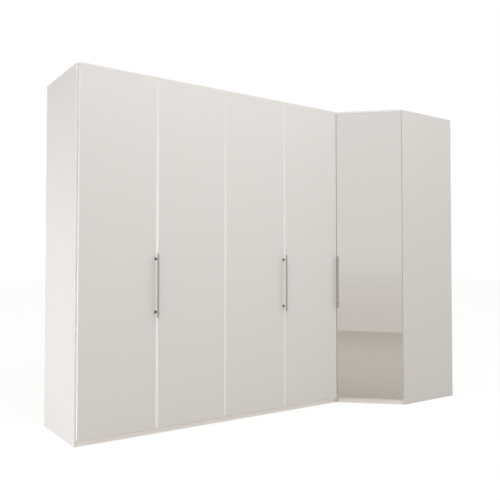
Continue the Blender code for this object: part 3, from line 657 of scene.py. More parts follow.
@dataclass(frozen=True)
class EdgedBoard(Finish):
    """Board with a band glued on its front edge, and the fine joint line behind the band."""

    front: Direction
    plane: float
    board: Melamine = Melamine("board_face")
    band: Lacquer = Lacquer("board_band", (0.84, 0.83, 0.81), 0.38)
    band_thickness: float = 0.0008
    joint_width: float = 0.00025
    joint_shade: float = 0.72
    joint_roughness: float = 0.7

    def look(self, graph: Graph) -> Look:
        """Face, then band in front of the joint, then the joint line between them.

        Args:
            graph: Graph of the material.

        Returns:
            The look of the board.
        """
        behind = graph.along(self.front, self.plane)
        look = graph.over(behind.below(self.band_thickness), self.board.look(graph), self.band.look(graph))
        joint = Look(shaded(self.board.colour, self.joint_shade), self.joint_roughness)
        line = behind.between(self.band_thickness, self.band_thickness + self.joint_width)
        return graph.over(line, look, joint)


@dataclass(frozen=True)
class BoredPanel(Finish):
    """Standing panel: edged board, two rows of shelf holes inside in painted shade, and steel studs and cups
    on it.

    The outward distance is measured from the inner face: holes are drawn at it, steel is beyond it. A
    panel that is bored on both faces is measured from its middle, and has half its thickness given.
    """

    edged: EdgedBoard
    inward: Direction
    face: float
    row: Direction
    rows: tuple[float, float]
    phase: float
    half_board: float = 0.0
    steel: PlatedSteel = PlatedSteel("stud_steel")
    # painted shade: the dark brown of a hole stands for the shade inside it, over the brown of the bare board
    hole_shade: Look = Look((0.10, 0.075, 0.05), 0.85)
    pitch: float = 0.032
    hole_radius: float = 0.0025
    lowest: float = 0.25
    highest: float = 2.00
    skin: float = 0.0004

    def look(self, graph: Graph) -> Look:
        """Paint a hole in painted shade where the distance from the nearest hole's centre is below the
        radius.

        Along the height it is the remainder of the number of steps, less a half; across it is the
        distance from the nearer of two rows.

        Args:
            graph: Graph of the material.

        Returns:
            The look of the panel.
        """
        out = graph.along(self.inward, self.face)
        if self.half_board:
            out = out.size() - self.half_board
        height = graph.along(UPWARD)
        across = graph.along(self.row).nearest(self.rows)
        step = (((height - self.phase) / self.pitch + 0.5).remainder() - 0.5) * self.pitch
        distance = (across * across + step * step).root()
        hole = distance.below(self.hole_radius) * height.between(self.lowest, self.highest)
        # painted shade in the holes
        look = graph.over(hole * out.above(-self.skin), self.edged.look(graph), self.hole_shade)
        return graph.over(out.above(self.skin), look, self.steel.look(graph))


@dataclass(frozen=True)
class BackBoard(Finish):
    """Thin back: painted white in front, bare fibre behind."""

    rearward: Direction
    middle: float
    painted: Melamine = Melamine("back_paint", (0.82, 0.81, 0.79), 0.6)
    bare: RawFibreboard = RawFibreboard("back_bare")

    def look(self, graph: Graph) -> Look:
        """Bare fibre where the surface lies behind the middle of the board."""
        behind = graph.along(self.rearward).above(self.middle)
        return graph.over(behind, self.painted.look(graph), self.bare.look(graph))


@dataclass(frozen=True)
class LeafFrame(Finish):
    """Door leaf: lacquered rim in front, near-white bands of painted light lapping onto the rim, and a board
    back.
    """

    inward: Direction
    front: float
    thickness: float
    sideways: Direction
    lit_sides: tuple[float, ...]
    rim: Lacquer
    edge: Lacquer
    band: Lacquer
    back: Melamine
    lit_lap: float = 0.0
    skin: float = 0.0005

    def look(self, graph: Graph) -> Look:
        """Rim at the front plane, edge lacquer behind it, a band of painted light near each lit side, board
        last.

        Args:
            graph: Graph of the material.

        Returns:
            The look of the leaf.
        """
        depth = graph.along(self.inward, self.front)
        look = graph.over(depth.above(self.skin), self.rim.look(graph), self.edge.look(graph))
        if self.lit_sides:
            # painted light: near each lit side the near-white band stands for the light on the leaf edge in
            # the joint
            near = graph.along(self.sideways).nearest(self.lit_sides).below(self.lit_lap)
            look = graph.over(near, look, self.band.look(graph))
        return graph.over(depth.above(self.thickness - self.skin), look, self.back.look(graph))


@dataclass(frozen=True)
class HeadRail(Finish):
    """Coated head rail, with the moulded pivot block where it fills the channel."""

    along: Direction
    blocks: tuple[tuple[float, float], ...]
    inward: Direction
    channel: tuple[float, float]
    roof: float
    coat: Lacquer
    nylon: MouldedNylon

    def look(self, graph: Graph) -> Look:
        """Nylon inside the channel's depth, below its roof, over the length of each block.

        Args:
            graph: Graph of the material.

        Returns:
            The look of the rail.
        """
        place = graph.along(self.along)
        inside = graph.along(self.inward).between(*self.channel) * graph.along(UPWARD).below(self.roof)
        length = reduce(Value.most, [place.between(*block) for block in self.blocks])
        return graph.over(inside * length, self.coat.look(graph), self.nylon.look(graph))


@dataclass(frozen=True)
class SteelUnderBoard(Finish):
    """Shelf with a steel rail hanger joined under it."""

    board: Finish
    underside: float
    steel: PlatedSteel

    def look(self, graph: Graph) -> Look:
        """Steel where the surface lies below the underside of the shelf."""
        below = graph.along(UPWARD).below(self.underside)
        return graph.over(below, self.board.look(graph), self.steel.look(graph))


@dataclass(frozen=True)
class Place:
    """A frame standing in the row frame: a point of the floor plan and a turn about the vertical."""

    x: float
    y: float
    turn: float = 0.0

    def carry(self, points: np.ndarray) -> np.ndarray:
        """Turn points about the vertical, then shift them.

        Args:
            points: Array (n, 3) of points in this frame.

        Returns:
            The points in the row frame.
        """
        c, s = cos(self.turn), sin(self.turn)
        spin = np.array(((c, -s, 0.0), (s, c, 0.0), (0.0, 0.0, 1.0)))
        return points @ spin.T + np.array((self.x, self.y, 0.0))

    def within(self, x: float, y: float) -> "Place":
        """Return the frame at a point of this one, with the same turn."""
        c, s = cos(self.turn), sin(self.turn)
        return Place(self.x + c * x - s * y, self.y + s * x + c * y, self.turn)

    def inward(self) -> Direction:
        """Direction of this frame's +Y in the row frame."""
        return (-sin(self.turn), cos(self.turn), 0.0)

    def sideways(self) -> Direction:
        """Direction of this frame's +X in the row frame."""
        return (cos(self.turn), sin(self.turn), 0.0)

    def across(self) -> float:
        """Distance of this frame's origin along its own +X."""
        return cos(self.turn) * self.x + sin(self.turn) * self.y

    def depth(self) -> float:
        """Distance of this frame's origin along its own +Y."""
        return -sin(self.turn) * self.x + cos(self.turn) * self.y


@dataclass
class Surface:
    """Points and faces of one mesh, gathered from several grids."""

    points: np.ndarray = field(default_factory=lambda: np.zeros((0, 3)))
    faces: list[list[int]] = field(default_factory=list)

    def add_rings(self, rings: np.ndarray, ends: Ends) -> None:
        """Add a grid of rings: each ring is joined to the next one by a band of quads.

        Args:
            rings: Array (rows, columns, 3); each row is one ring, turning anticlockwise.
            ends: How the first and the last ring end.
        """
        rows, columns = rings.shape[:2]
        index = np.arange(rows * columns).reshape(rows, columns) + len(self.points)
        lower, upper = index, np.roll(index, -1, axis=0)
        if ends is Ends.CAPPED:
            lower, upper = lower[:-1], upper[:-1]
            self.faces += [index[0, ::-1].tolist(), index[-1].tolist()]
        quads = np.stack([lower, np.roll(lower, -1, 1), np.roll(upper, -1, 1), upper], axis=-1)
        self.faces += quads.reshape(-1, 4).tolist()
        self.points = np.concatenate([self.points, rings.reshape(-1, 3)])

    def add_turned(self, profile: np.ndarray, segments: int, facing: Facing, foot: Point = (0.0, 0.0, 0.0),
                   lobes: Optional[np.ndarray] = None, ends: Ends = Ends.CAPPED) -> None:
        """Add a turned solid: radius and height of each ring come from the profile.

        A ring of radius r has the points r * (1 + lobe * cos(arms * angle)) round the axis, so a lobe
        other than zero gives a cross-shaped ring.

        Args:
            profile: Array (rows, 2) of radius and height.
            segments: Points in each ring.
            facing: Way that the axis points.
            foot: Place of the axis where the height is zero.
            lobes: Lobe of each ring, or nothing for round ones.
            ends: How the first and the last ring end.
        """
        angle = np.linspace(0.0, 2 * pi, segments, endpoint=False)
        swell = np.zeros(len(profile)) if lobes is None else lobes
        radius = profile[:, :1] * (1 + swell[:, None] * np.cos(CROSS_ARMS * angle))
        height = np.broadcast_to(profile[:, 1:], radius.shape)
        rings = np.stack([radius * np.cos(angle), radius * np.sin(angle), height], axis=-1)
        self.add_rings(rings @ np.array(facing.value).T + np.array(foot), ends)

    def build(self, name: str, place: Place, finish: Finish, body: Body, slot: Slot,
              nodes: Iterable[str] = ()) -> None:
        """Turn the surface into a piece, shaded smooth with sharp edges kept, and log it.

        Args:
            name: Name of the piece.
            place: Frame that the points are drawn in.
            finish: Finish of the piece.
            body: Body that it moves with.
            slot: Material slot of the record; not used.
            nodes: CAD nodes that it replaces.
        """
        mesh = bpy.data.meshes.new(name)
        mesh.from_pydata(place.carry(self.points), [], self.faces)
        mesh.shade_smooth()
        mesh.set_sharp_from_angle(angle=SHARP_ANGLE)
        mesh.materials.append(finish.material())
        piece = bpy.data.objects.new(name, mesh)
        bpy.context.scene.collection.objects.link(piece)
        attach(piece, body.value)
        if nodes:
            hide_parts(*nodes)
        LOG.info("%s: %d faces on %s", name, len(self.faces), body.value)


def rounded_corner(radius: float, height: float, corner: float, start: float, steps: int = 7) -> np.ndarray:
    """Profile of a rounded corner: a quarter circle of radius corner about (radius, height), from start."""
    angle = np.linspace(start, start + pi / 2, steps)
    return np.stack([radius + corner * np.cos(angle), height + corner * np.sin(angle)], axis=1)


def dress(frame: Mapping[str, Any], names: Iterable[str], finish: Finish) -> None:
    """Give CAD nodes a finish.

    Args:
        frame: The loaded frame.
        names: Names of the nodes.
        finish: Their finish.
    """
    material = finish.material()
    for name in names:
        node = frame["nodes"][name]
        for slot in node.material_slots:
            slot.material = material
        LOG.info("%s: %s", name, finish.name)


@dataclass(frozen=True)
class Plan:
    """Places of the wardrobe's parts in the row frame, from the same sizes as the CAD."""

    x: float
    y: float
    panel: float = 0.019
    leaf_width: float = 0.484
    leaf_gap: float = 0.004
    side_reveal: float = 0.010
    leaf_low: float = 0.039
    leaf_high: float = 2.144
    leaf_thickness: float = 0.0223
    pane: float = 0.004
    back_gap: float = 0.0025
    rim_width: float = 0.009
    pivot_inset: float = 0.0065
    pivot_depth: float = 0.007
    fold_offset: float = 0.008
    mirror_width: float = 0.473833
    mirror_turn: float = radians(-45)
    seat: float = 0.0003
    back_inset: float = 0.014
    shelf_setback: float = 0.030
    board_rear: float = 0.5417
    shelf_low: float = 1.821
    pin_radius: float = 0.0025
    row_shares: tuple[float, float] = (0.18, 0.85)
    diagonal_sum: float = 1.9783

    def front(self) -> float:
        """Front plane of the closed leaves of the run."""
        return self.y - self.back_gap - self.leaf_thickness

    def leaf_left(self, number: int) -> float:
        """Left edge of a leaf of the run, numbered from one."""
        return self.x + self.side_reveal + (number - 1) * (self.leaf_width + self.leaf_gap)

    def hinge(self, number: int) -> Place:
        """Frame on the axis of a hinged leaf of the run."""
        return Place(self.leaf_left(number) + self.pivot_inset, self.front() + self.pivot_depth)

    def fold(self, number: int) -> Place:
        """Frame on the fold between a hinged leaf and the next one."""
        x = self.leaf_left(number) + self.leaf_width + self.leaf_gap / 2
        return Place(x, self.y - self.back_gap + self.fold_offset)

    def mirror_hinge(self, pin: tuple[Vector, Vector]) -> Place:
        """Frame on the axis of the mirror door, from the two corners of its pin's box."""
        return Place((pin[0].x + pin[1].x) / 2, (pin[0].y + pin[1].y) / 2, self.mirror_turn)

    def roller(self, number: int) -> Place:
        """Frame on the axis of the roller of a guided leaf."""
        x = self.leaf_left(number) + self.leaf_width - self.pivot_inset
        return Place(x, self.front() + self.pivot_depth)

    def hole_rows(self, front: float, rear: float) -> tuple[float, float]:
        """Places of the two rows of shelf holes, between the front and the rear edge of the shelf."""
        near, far = self.row_shares
        return (front + near * (rear - front), front + far * (rear - front))


@dataclass
class Slab:
    """Flat piece with rounded corners and a narrow chamfer round its front face.

    Left, right, low and high are its sides, seen from the front; it reaches from the front plane of its
    frame back by its depth.
    """

    name: str
    body: Body
    place: Place
    slot: Slot
    left: float
    right: float
    low: float
    high: float
    depth: float
    chamfer: float
    corner: float
    nodes: tuple[str, ...] = ()
    corner_steps: int = 6

    def ring(self, inset: float, depth: float) -> np.ndarray:
        """One outline at a depth: a quarter circle about each corner's centre, joined by straight sides.

        Args:
            inset: Distance that the outline is set in.
            depth: Distance behind the front plane.

        Returns:
            Array of points, turning anticlockwise seen from behind.
        """
        right, left = self.right - self.corner, self.left + self.corner
        high, low = self.high - self.corner, self.low + self.corner
        centres = np.array(((right, high), (left, high), (left, low), (right, low)))
        quarters = np.arange(len(centres))[:, None] * pi / 2
        angle = quarters + np.linspace(0.0, pi / 2, self.corner_steps)
        radius = self.corner - inset
        x = (centres[:, :1] + radius * np.cos(angle)).ravel()
        z = (centres[:, 1:] + radius * np.sin(angle)).ravel()
        return np.stack([x, np.full_like(x, depth), z], axis=1)

    def build(self, finish: Finish) -> None:
        """Join front, chamfer and back outlines, in place of the CAD nodes where some are named.

        Args:
            finish: Finish of the piece.
        """
        surface = Surface()
        rings = [self.ring(self.chamfer, 0.0), self.ring(0.0, self.chamfer), self.ring(0.0, self.depth)]
        surface.add_rings(np.stack(rings)[::-1], Ends.CAPPED)
        surface.build(self.name, self.place, finish, self.body, self.slot, self.nodes)


@dataclass
class Handle:
    """A round bar on two feet; bar, stems and dark roses are pieces of their own.

    The shares give the rounding of a rose from its thickness and the flare of a stem from its radius.
    From the bar's radius they give how far short of the bar's axis the flare ends, and how much further
    the stem reaches.
    """

    name: str
    body: Body
    place: Place
    length: float = 0.385
    spacing: float = 0.320
    centre: float = 0.893
    radius: float = 0.006
    standoff: float = 0.036
    corner: float = 0.0012
    rose_radius: float = 0.0082
    rose: float = 0.004
    stem_radius: float = 0.0045
    seat: float = 0.0003
    rose_rounding_share: float = 1 / 3
    flare_share: float = 1 / 3
    meet_share: float = 0.8
    reach_share: float = 1 / 3
    shaft_bands: int = 8
    flare_steps: int = 6
    segments: int = 48

    def bar(self) -> Surface:
        """Bar: a straight turned rod with rounded ends, standing on the frame's vertical.

        Returns:
            The rod.
        """
        low = self.centre - self.length / 2
        high = self.centre + self.length / 2
        inner = self.radius - self.corner
        shaft = np.linspace(low + self.corner, high - self.corner, self.shaft_bands + 1)[1:-1]
        profile = np.concatenate([
            rounded_corner(inner, low + self.corner, self.corner, -pi / 2),
            np.stack([np.full_like(shaft, self.radius), shaft], axis=1),
            rounded_corner(inner, high - self.corner, self.corner, 0.0)])
        surface = Surface()
        surface.add_turned(profile, self.segments, Facing.UP, (0.0, -self.standoff, 0.0))
        return surface

    def roses(self) -> Surface:
        """Roses: low discs with a rounded rim and a slightly domed face, one at each foot.

        Returns:
            The two discs.
        """
        soft = self.rose * self.rose_rounding_share
        profile = np.concatenate([
            np.array([[self.rose_radius - soft / 2, self.seat], [self.rose_radius, self.seat + soft / 2]]),
            rounded_corner(self.rose_radius - soft, self.rose - soft, soft, 0.0),
            np.array([[self.stem_radius, self.rose + self.seat]])])
        return self.at_feet(profile)

    def stems(self) -> Surface:
        """Stems: a cove above the rose, a straight neck, and a flare where it meets the bar.

        Returns:
            The two stems.
        """
        cove = np.linspace(0.0, pi / 2, self.flare_steps)
        soft = self.stem_radius * self.flare_share
        meet = self.standoff - self.radius * self.meet_share
        neck = self.stem_radius - soft
        profile = np.concatenate([
            np.stack([neck + soft * (1 - np.sin(cove)), self.rose + soft * (1 - np.cos(cove))], axis=1),
            np.stack([neck + soft * (1 - np.cos(cove)), meet - soft * (1 - np.sin(cove))], axis=1),
            np.array([[self.stem_radius, meet + self.radius * self.reach_share]])])
        return self.at_feet(profile)

    def at_feet(self, profile: np.ndarray) -> Surface:
        """Turn one profile at both feet.

        Args:
            profile: Array of radius and distance from the leaf.

        Returns:
            The two turned solids.
        """
        surface = Surface()
        for side in (-1, 1):
            surface.add_turned(profile, self.segments, Facing.FRONT,
                               (0.0, 0.0, self.centre + side * self.spacing / 2))
        return surface

    def build(self, metal: Finish, dark: Finish) -> None:
        """Build the handle in place of its CAD node.

        Args:
            metal: Finish of the bar and the stems.
            dark: Finish of the roses.
        """
        for part, surface, finish in (("bar", self.bar(), metal), ("stems", self.stems(), metal),
                                      ("roses", self.roses(), dark)):
            surface.build(f"{self.name}_{part}", self.place, finish, self.body, Slot.HANDLE_METAL,
                          [self.name])


@dataclass
class Screws:
    """Countersunk screws with a cross recess, set in one fitting."""

    name: str
    body: Body
    place: Place
    facing: Facing
    spots: tuple[Point, ...]
    radius: float = 0.0034
    sink: float = 0.0006
    rise: float = 0.0004
    recess: float = 0.0011
    dome_shares: tuple[tuple[float, float], ...] = ((1.0, 0.0), (0.92, 0.55), (0.7, 0.85), (0.5, 1.0),
                                                    (0.42, 1.0), (0.36, 0.2))
    floor_shares: tuple[float, float] = (0.2, 0.06)
    lobe_shares: tuple[float, ...] = (0.0, 0.0, 0.0, 0.0, 0.0, 0.3, 0.4, 0.2, 0.0)
    segments: int = 32

    def build(self, finish: Finish) -> None:
        """Build all heads as one piece: rim, low dome, and the lobed recess down its middle.

        The dome's points are shares of the radius and of the rise, and those of the recess's floor are
        shares of the radius. A lobe is the share by which a ring swings in and out.

        Args:
            finish: Finish of the screws.
        """
        bottom = self.rise - self.recess
        profile = np.concatenate([[[self.radius, -self.sink]],
                                  np.array(self.dome_shares) * (self.radius, self.rise),
                                  [[share * self.radius, bottom] for share in self.floor_shares]])
        surface = Surface()
        for spot in self.spots:
            surface.add_turned(profile, self.segments, self.facing, spot, np.array(self.lobe_shares))
        surface.build(self.name, self.place, finish, self.body, Slot.STEEL_FITTINGS)


@dataclass
class LeafPin(ABC):
    """Steel pin in the top edge of a leaf; its collar stands off that edge by the seat."""

    name: str
    body: Body
    place: Place
    top: float
    radius: float
    chamfer: float
    depth: float = 0.025
    seat: float = 0.0003
    collar_radius: float = 0.0042
    segments: int = 40

    @abstractmethod
    def upper(self) -> list[tuple[float, float]]:
        """Radius and height of the steps from the collar up."""

    def build(self, finish: Finish) -> None:
        """Turn the pin from its steps of radius and height, in place of its CAD node.

        Args:
            finish: Finish of the pin.
        """
        foot = self.top - self.depth
        steps = [(self.radius - self.chamfer, foot), (self.radius, foot + self.chamfer),
                 (self.radius, self.top + self.seat), *self.upper()]
        surface = Surface()
        surface.add_turned(np.array(steps), self.segments, Facing.UP)
        surface.build(self.name + "_turned", self.place, finish, self.body, Slot.STEEL_FITTINGS, [self.name])


@dataclass
class PivotPin(LeafPin):
    """Pin of a hinged leaf: a chamfered collar and a rounded tip.

    Each step of the tip is how much less than the radius, and how far below the end.
    """

    radius: float = 0.003
    chamfer: float = 0.0008
    collar_depth: float = 0.0008
    collar_chamfer: float = 0.0002
    reach: float = 0.009
    tip: tuple[tuple[float, float], ...] = ((0.0, 0.0008), (0.0004, 0.0003), (0.0012, 0.0))

    def upper(self) -> list[tuple[float, float]]:
        """Radius and height of the steps of collar and tip.

        Returns:
            The steps, from below.
        """
        low, high = self.top + self.seat, self.top + self.seat + self.collar_depth
        wide, soft, end = self.collar_radius, self.collar_chamfer, self.top + self.reach
        return [(wide - soft, low), (wide, low + soft), (wide, high - soft), (wide - soft, high),
                (self.radius, high), *((self.radius - less, end - below) for less, below in self.tip)]


@dataclass
class GuidePin(LeafPin):
    """Pin of a guided leaf: a tall collar under the roller, and a head over it.

    Each step of the head is how much less than its radius, and how far above its underside.
    """

    radius: float = 0.0025
    chamfer: float = 0.0007
    roller_low: float = 0.0
    roller_high: float = 0.0
    play: float = 0.0003
    head_radius: float = 0.0036
    head_steps: tuple[tuple[float, float], ...] = ((0.0002, 0.0), (0.0, 0.0002), (0.0, 0.0008),
                                                   (0.0006, 0.0012))

    def upper(self) -> list[tuple[float, float]]:
        """Radius and height of the steps of collar and head.

        Returns:
            The steps, from below.
        """
        collar_high, head_low = self.roller_low - self.play, self.roller_high + self.play
        return [(self.collar_radius, self.top + self.seat), (self.collar_radius, collar_high),
                (self.radius, collar_high), (self.radius, head_low),
                *((self.head_radius - less, head_low + above) for less, above in self.head_steps)]


@dataclass
class GuideRoller:
    """Nylon roller: a ring with a crowned tread and softened rims."""

    name: str
    body: Body
    place: Place
    low: float
    height: float = 0.0065
    radius: float = 0.0045
    bore: float = 0.0028
    crown: float = 0.00025
    corner: float = 0.0005
    tread_bands: int = 8
    segments: int = 56

    def build(self, finish: Finish) -> None:
        """Turn the section; the tread's radius falls with the square of the height from its middle.

        Args:
            finish: Finish of the roller.
        """
        rise = np.linspace(-1.0, 1.0, self.tread_bands + 1)
        tread = np.stack([self.radius - self.crown * rise ** 2,
                          self.low + self.height / 2 + rise * (self.height / 2 - self.corner)], axis=1)
        high = self.low + self.height
        inner, rim = self.bore + self.corner, self.radius - self.crown - self.corner
        section = np.concatenate([
            [[self.bore, self.low + self.corner], [inner, self.low], [rim, self.low]], tread,
            [[rim, high], [inner, high], [self.bore, high - self.corner]]])
        surface = Surface()
        surface.add_turned(section, self.segments, Facing.UP, ends=Ends.JOINED)
        surface.build(self.name + "_tread", self.place, finish, self.body, Slot.ROLLER_PLASTIC, [self.name])


@dataclass
class ClothesRail:
    """Oval tube, open at both ends."""

    name: str
    left: float
    right: float
    y: float
    z: float
    width: float = 0.015
    height: float = 0.030
    wall: float = 0.0015
    segments: int = 72

    def outline(self, shrink: float) -> np.ndarray:
        """Slot-shaped oval: half circles joined by straight sides, as (depth, height).

        Args:
            shrink: Distance that the outline is set in.

        Returns:
            Array (segments, 2) of points round the oval.
        """
        angle = np.linspace(0.0, 2 * pi, self.segments, endpoint=False)
        radius = self.width / 2 - shrink
        straight = (self.height - self.width) / 2
        lift = straight * np.where(np.sin(angle) >= 0, 1.0, -1.0)
        return np.stack([radius * np.cos(angle), radius * np.sin(angle) + lift], axis=1)

    def build(self, finish: Finish) -> None:
        """Carry the outer and the inner oval along the rail, and join them at both ends.

        Args:
            finish: Finish of the tube.
        """
        stations = ((self.left, 0.0), (self.right, 0.0), (self.right, self.wall), (self.left, self.wall))
        rings = np.stack([np.column_stack([np.full(self.segments, x), self.outline(shrink)
                                           + np.array((self.y, self.z))]) for x, shrink in stations])
        surface = Surface()
        surface.add_rings(rings, Ends.JOINED)
        surface.build(self.name + "_tube", Place(0.0, 0.0), finish, Body.CARCASS, Slot.RAIL_TUBE, [self.name])


@dataclass
class Carcass:
    """Boards, backs, head rails, brackets and clothes rails of the run and of the corner unit.

    The block length has a little room at both ends of a pivot block, and a skin is how far behind a
    surface the finish changes.
    """

    plan: Plan
    frame: Mapping[str, Any]
    mirror: Place
    steel: PlatedSteel = PlatedSteel("zinc_steel")
    nylon: MouldedNylon = MouldedNylon("white_nylon", (0.82, 0.81, 0.79))
    coat: Lacquer = Lacquer("head_rail_coat", (0.73, 0.712, 0.697), 0.34)
    # painted light: a white coat, made brighter than the leaves' white to offset the shade on the brackets'
    # fronts
    bracket: Lacquer = Lacquer("bracket_lit_white", (0.90, 0.875, 0.855), 0.34)
    # painted light: the plinths are whiter than the other white boards, for light that their recess under the
    # leaves does not get
    plinth: Lacquer = Lacquer("plinth_lit_white", (0.97, 0.94, 0.915), 0.4)
    chrome: BrushedMetal = BrushedMetal("rail_chrome", (0.70, 0.70, 0.69), 0.16,
                                        Pattern(1.0, 3.0, (14.0, 420.0, 420.0)))
    hanger_skin: float = 0.0002
    block_length: float = 0.0245
    channel_half: float = 0.0048
    roof_skin: float = 0.0006
    screw_across: float = 0.0225
    screw_depths: tuple[float, float] = (0.024, 0.037)
    screw_rise: float = 0.0003

    def panels(self) -> None:
        """Dress the standing panels, with their shelf holes and steel fittings."""
        plan = self.plan
        phase = plan.shelf_low - plan.seat - plan.pin_radius
        rows = plan.hole_rows(plan.y + plan.shelf_setback, plan.y + plan.board_rear)
        edged = EdgedBoard("run_edged_board", REARWARD, plan.y)
        run_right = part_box("right_side_panel")[1].x
        corner_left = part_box("corner_side_panel")[0].x
        middle = plan.x + (run_right - plan.x) / 2
        faces = {"left_side_panel": (RIGHT, plan.x + plan.panel, 0.0),
                 "right_side_panel": (LEFT, -(run_right - plan.panel), 0.0),
                 "centre_partition": (RIGHT, middle, plan.panel / 2),
                 "corner_side_panel": (RIGHT, corner_left + plan.panel, 0.0)}
        for node, (inward, face, half) in faces.items():
            dress(self.frame, [node],
                  BoredPanel(node + "_finish", edged, inward, face, REARWARD, rows, phase, half))
        low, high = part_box("corner_end_panel")
        end_edged = EdgedBoard("corner_end_edged_board", RIGHT, low.x)
        end_rows = plan.hole_rows(low.x + plan.shelf_setback, high.x - plan.back_inset)
        dress(self.frame, ["corner_end_panel"],
              BoredPanel("corner_end_panel_finish", end_edged, REARWARD, low.y + plan.panel, RIGHT,
                         end_rows, phase))

    def boards(self) -> None:
        """Dress the lying boards, the plinths and the post."""
        plan = self.plan
        dress(self.frame, ["top_panel", "bottom_panel"], EdgedBoard("run_board", REARWARD, plan.y))
        dress(self.frame, ["plinth_strip", "corner_plinth"], self.plinth)
        dress(self.frame, ["hat_shelf_left", "hat_shelf_right"],
              EdgedBoard("run_shelf_board", REARWARD, plan.y + plan.shelf_setback))
        edge = (plan.x + plan.y + plan.diagonal_sum) * DIAGONAL
        dress(self.frame, ["corner_top_panel", "corner_bottom_panel"],
              EdgedBoard("corner_board", SLANT, edge))
        shelf = EdgedBoard("corner_shelf_board", SLANT, edge + plan.shelf_setback)
        dress(self.frame, ["corner_hat_shelf"],
              SteelUnderBoard("corner_shelf_and_hanger", shelf, plan.shelf_low - self.hanger_skin,
                              self.steel))
        dress(self.frame, ["rear_plinth_rail", "corner_post"], Melamine("plain_board"))

    def backs(self) -> None:
        """Dress the thin backs."""
        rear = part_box("back_panel_left")
        dress(self.frame, ["back_panel_left", "back_panel_right", "corner_back_panel_rear"],
              BackBoard("rear_back_board", REARWARD, (rear[0].y + rear[1].y) / 2))
        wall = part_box("corner_back_panel_wall")
        dress(self.frame, ["corner_back_panel_wall"],
              BackBoard("wall_back_board", RIGHT, (wall[0].x + wall[1].x) / 2))

    def heads(self) -> None:
        """Dress the door track and the head rail of the mirror door.

        A pivot block starts at the edge of its door. That is left of the axis in the run and right of it
        on the mirror door.
        """
        plan = self.plan
        near, far = -plan.pivot_inset, -plan.pivot_inset + self.block_length
        half = self.channel_half
        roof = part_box("door_track")[1].z - self.roof_skin
        blocks = tuple((plan.hinge(number).x + near, plan.hinge(number).x + far) for number in (1, 3))
        centre = plan.hinge(1).y
        dress(self.frame, ["door_track"],
              HeadRail("door_track_finish", RIGHT, blocks, REARWARD, (centre - half, centre + half), roof,
                       self.coat, self.nylon))
        axis, depth = self.mirror.across(), self.mirror.depth()
        dress(self.frame, ["corner_door_head"],
              HeadRail("corner_head_finish", self.mirror.sideways(), ((axis - far, axis - near),),
                       self.mirror.inward(), (depth - half, depth + half), roof, self.coat, self.nylon))

    def brackets(self) -> None:
        """Dress the bottom brackets, and set two screws in each.

        A bracket reaches from the door's axis to one side: 1 is right, -1 is left.
        """
        plan = self.plan
        reach = plan.back_gap + plan.leaf_thickness - plan.pivot_depth
        for name, place, side in (("bottom_pivot_bracket_1", plan.hinge(1), 1),
                                  ("bottom_pivot_bracket_3", plan.hinge(3), 1),
                                  ("mirror_door_bottom_bracket", self.mirror, -1)):
            dress(self.frame, [name], self.bracket)
            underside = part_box(name)[0].z
            spots = tuple((side * self.screw_across, reach + depth, underside)
                          for depth in self.screw_depths)
            Screws(name + "_screws", Body.CARCASS, place, Facing.DOWN, spots,
                   rise=self.screw_rise).build(self.steel)

    def rails(self) -> None:
        """Build the clothes rails."""
        for name in ("clothes_rail_left", "clothes_rail_right", "corner_clothes_rail"):
            low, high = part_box(name)
            middle = (low + high) / 2
            ClothesRail(name, low.x, high.x, middle.y, middle.z).build(self.chrome)

    def build(self) -> None:
        """Dress and detail the whole carcass."""
        self.panels()
        self.boards()
        self.backs()
        self.heads()
        self.brackets()
        self.rails()


@dataclass(frozen=True)
class Leaf:
    """A leaf of the run: its sides with a band of painted light, as shares of its width, and how far the band
    laps.
    """

    number: int
    body: Body
    lit_sides: tuple[float, ...]
    lit_lap: float


@dataclass(frozen=True)
class Lip:
    """Soft lip in a joint: the leaf that it stands on, its sides from that leaf's left edge, its depth."""

    name: str
    body: Body
    number: int
    left: float
    right: float
    depth: float


@dataclass
class FoldHinges:
    """Fold hinges of the two pairs, with the screws of their wings.

    Each screw is its distance from the fold, and its height as a share of the hinge's.
    """

    plan: Plan
    frame: Mapping[str, Any]
    steel: PlatedSteel
    levels: tuple[str, ...] = ("low", "middle", "high")
    height: float = 0.072
    plate: float = 0.0025
    screws: tuple[tuple[float, float], ...] = ((0.019, 0.14), (0.026, 0.5), (0.019, 0.86))

    def build(self) -> None:
        """Dress each wing and set its screws. A pin wing is left of the fold, a loose one right."""
        for pair, number, pinned, loose in (("left_pair", 1, Body.LEAF_1, Body.LEAF_2),
                                            ("right_pair", 3, Body.LEAF_3, Body.LEAF_4)):
            fold = self.plan.fold(number)
            for level in self.levels:
                self.wing(f"{pair}_{level}_hinge_pin_wing", pinned, fold, -1)
                self.wing(f"{pair}_{level}_hinge_loose_wing", loose, fold, 1)

    def wing(self, name: str, body: Body, fold: Place, side: int) -> None:
        """Dress one wing and set its screws.

        Args:
            name: Name of the wing's CAD node.
            body: Body of the leaf that it is fixed to.
            fold: Frame on the fold.
            side: Side of the fold: -1 for left, 1 for right.
        """
        dress(self.frame, [name], self.steel)
        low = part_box(name)[0].z
        face = -self.plan.fold_offset + self.plan.seat + self.plate
        spots = tuple((side * across, face, low + share * self.height) for across, share in self.screws)
        Screws(name + "_screws", body, fold, Facing.BACK, spots).build(self.steel)


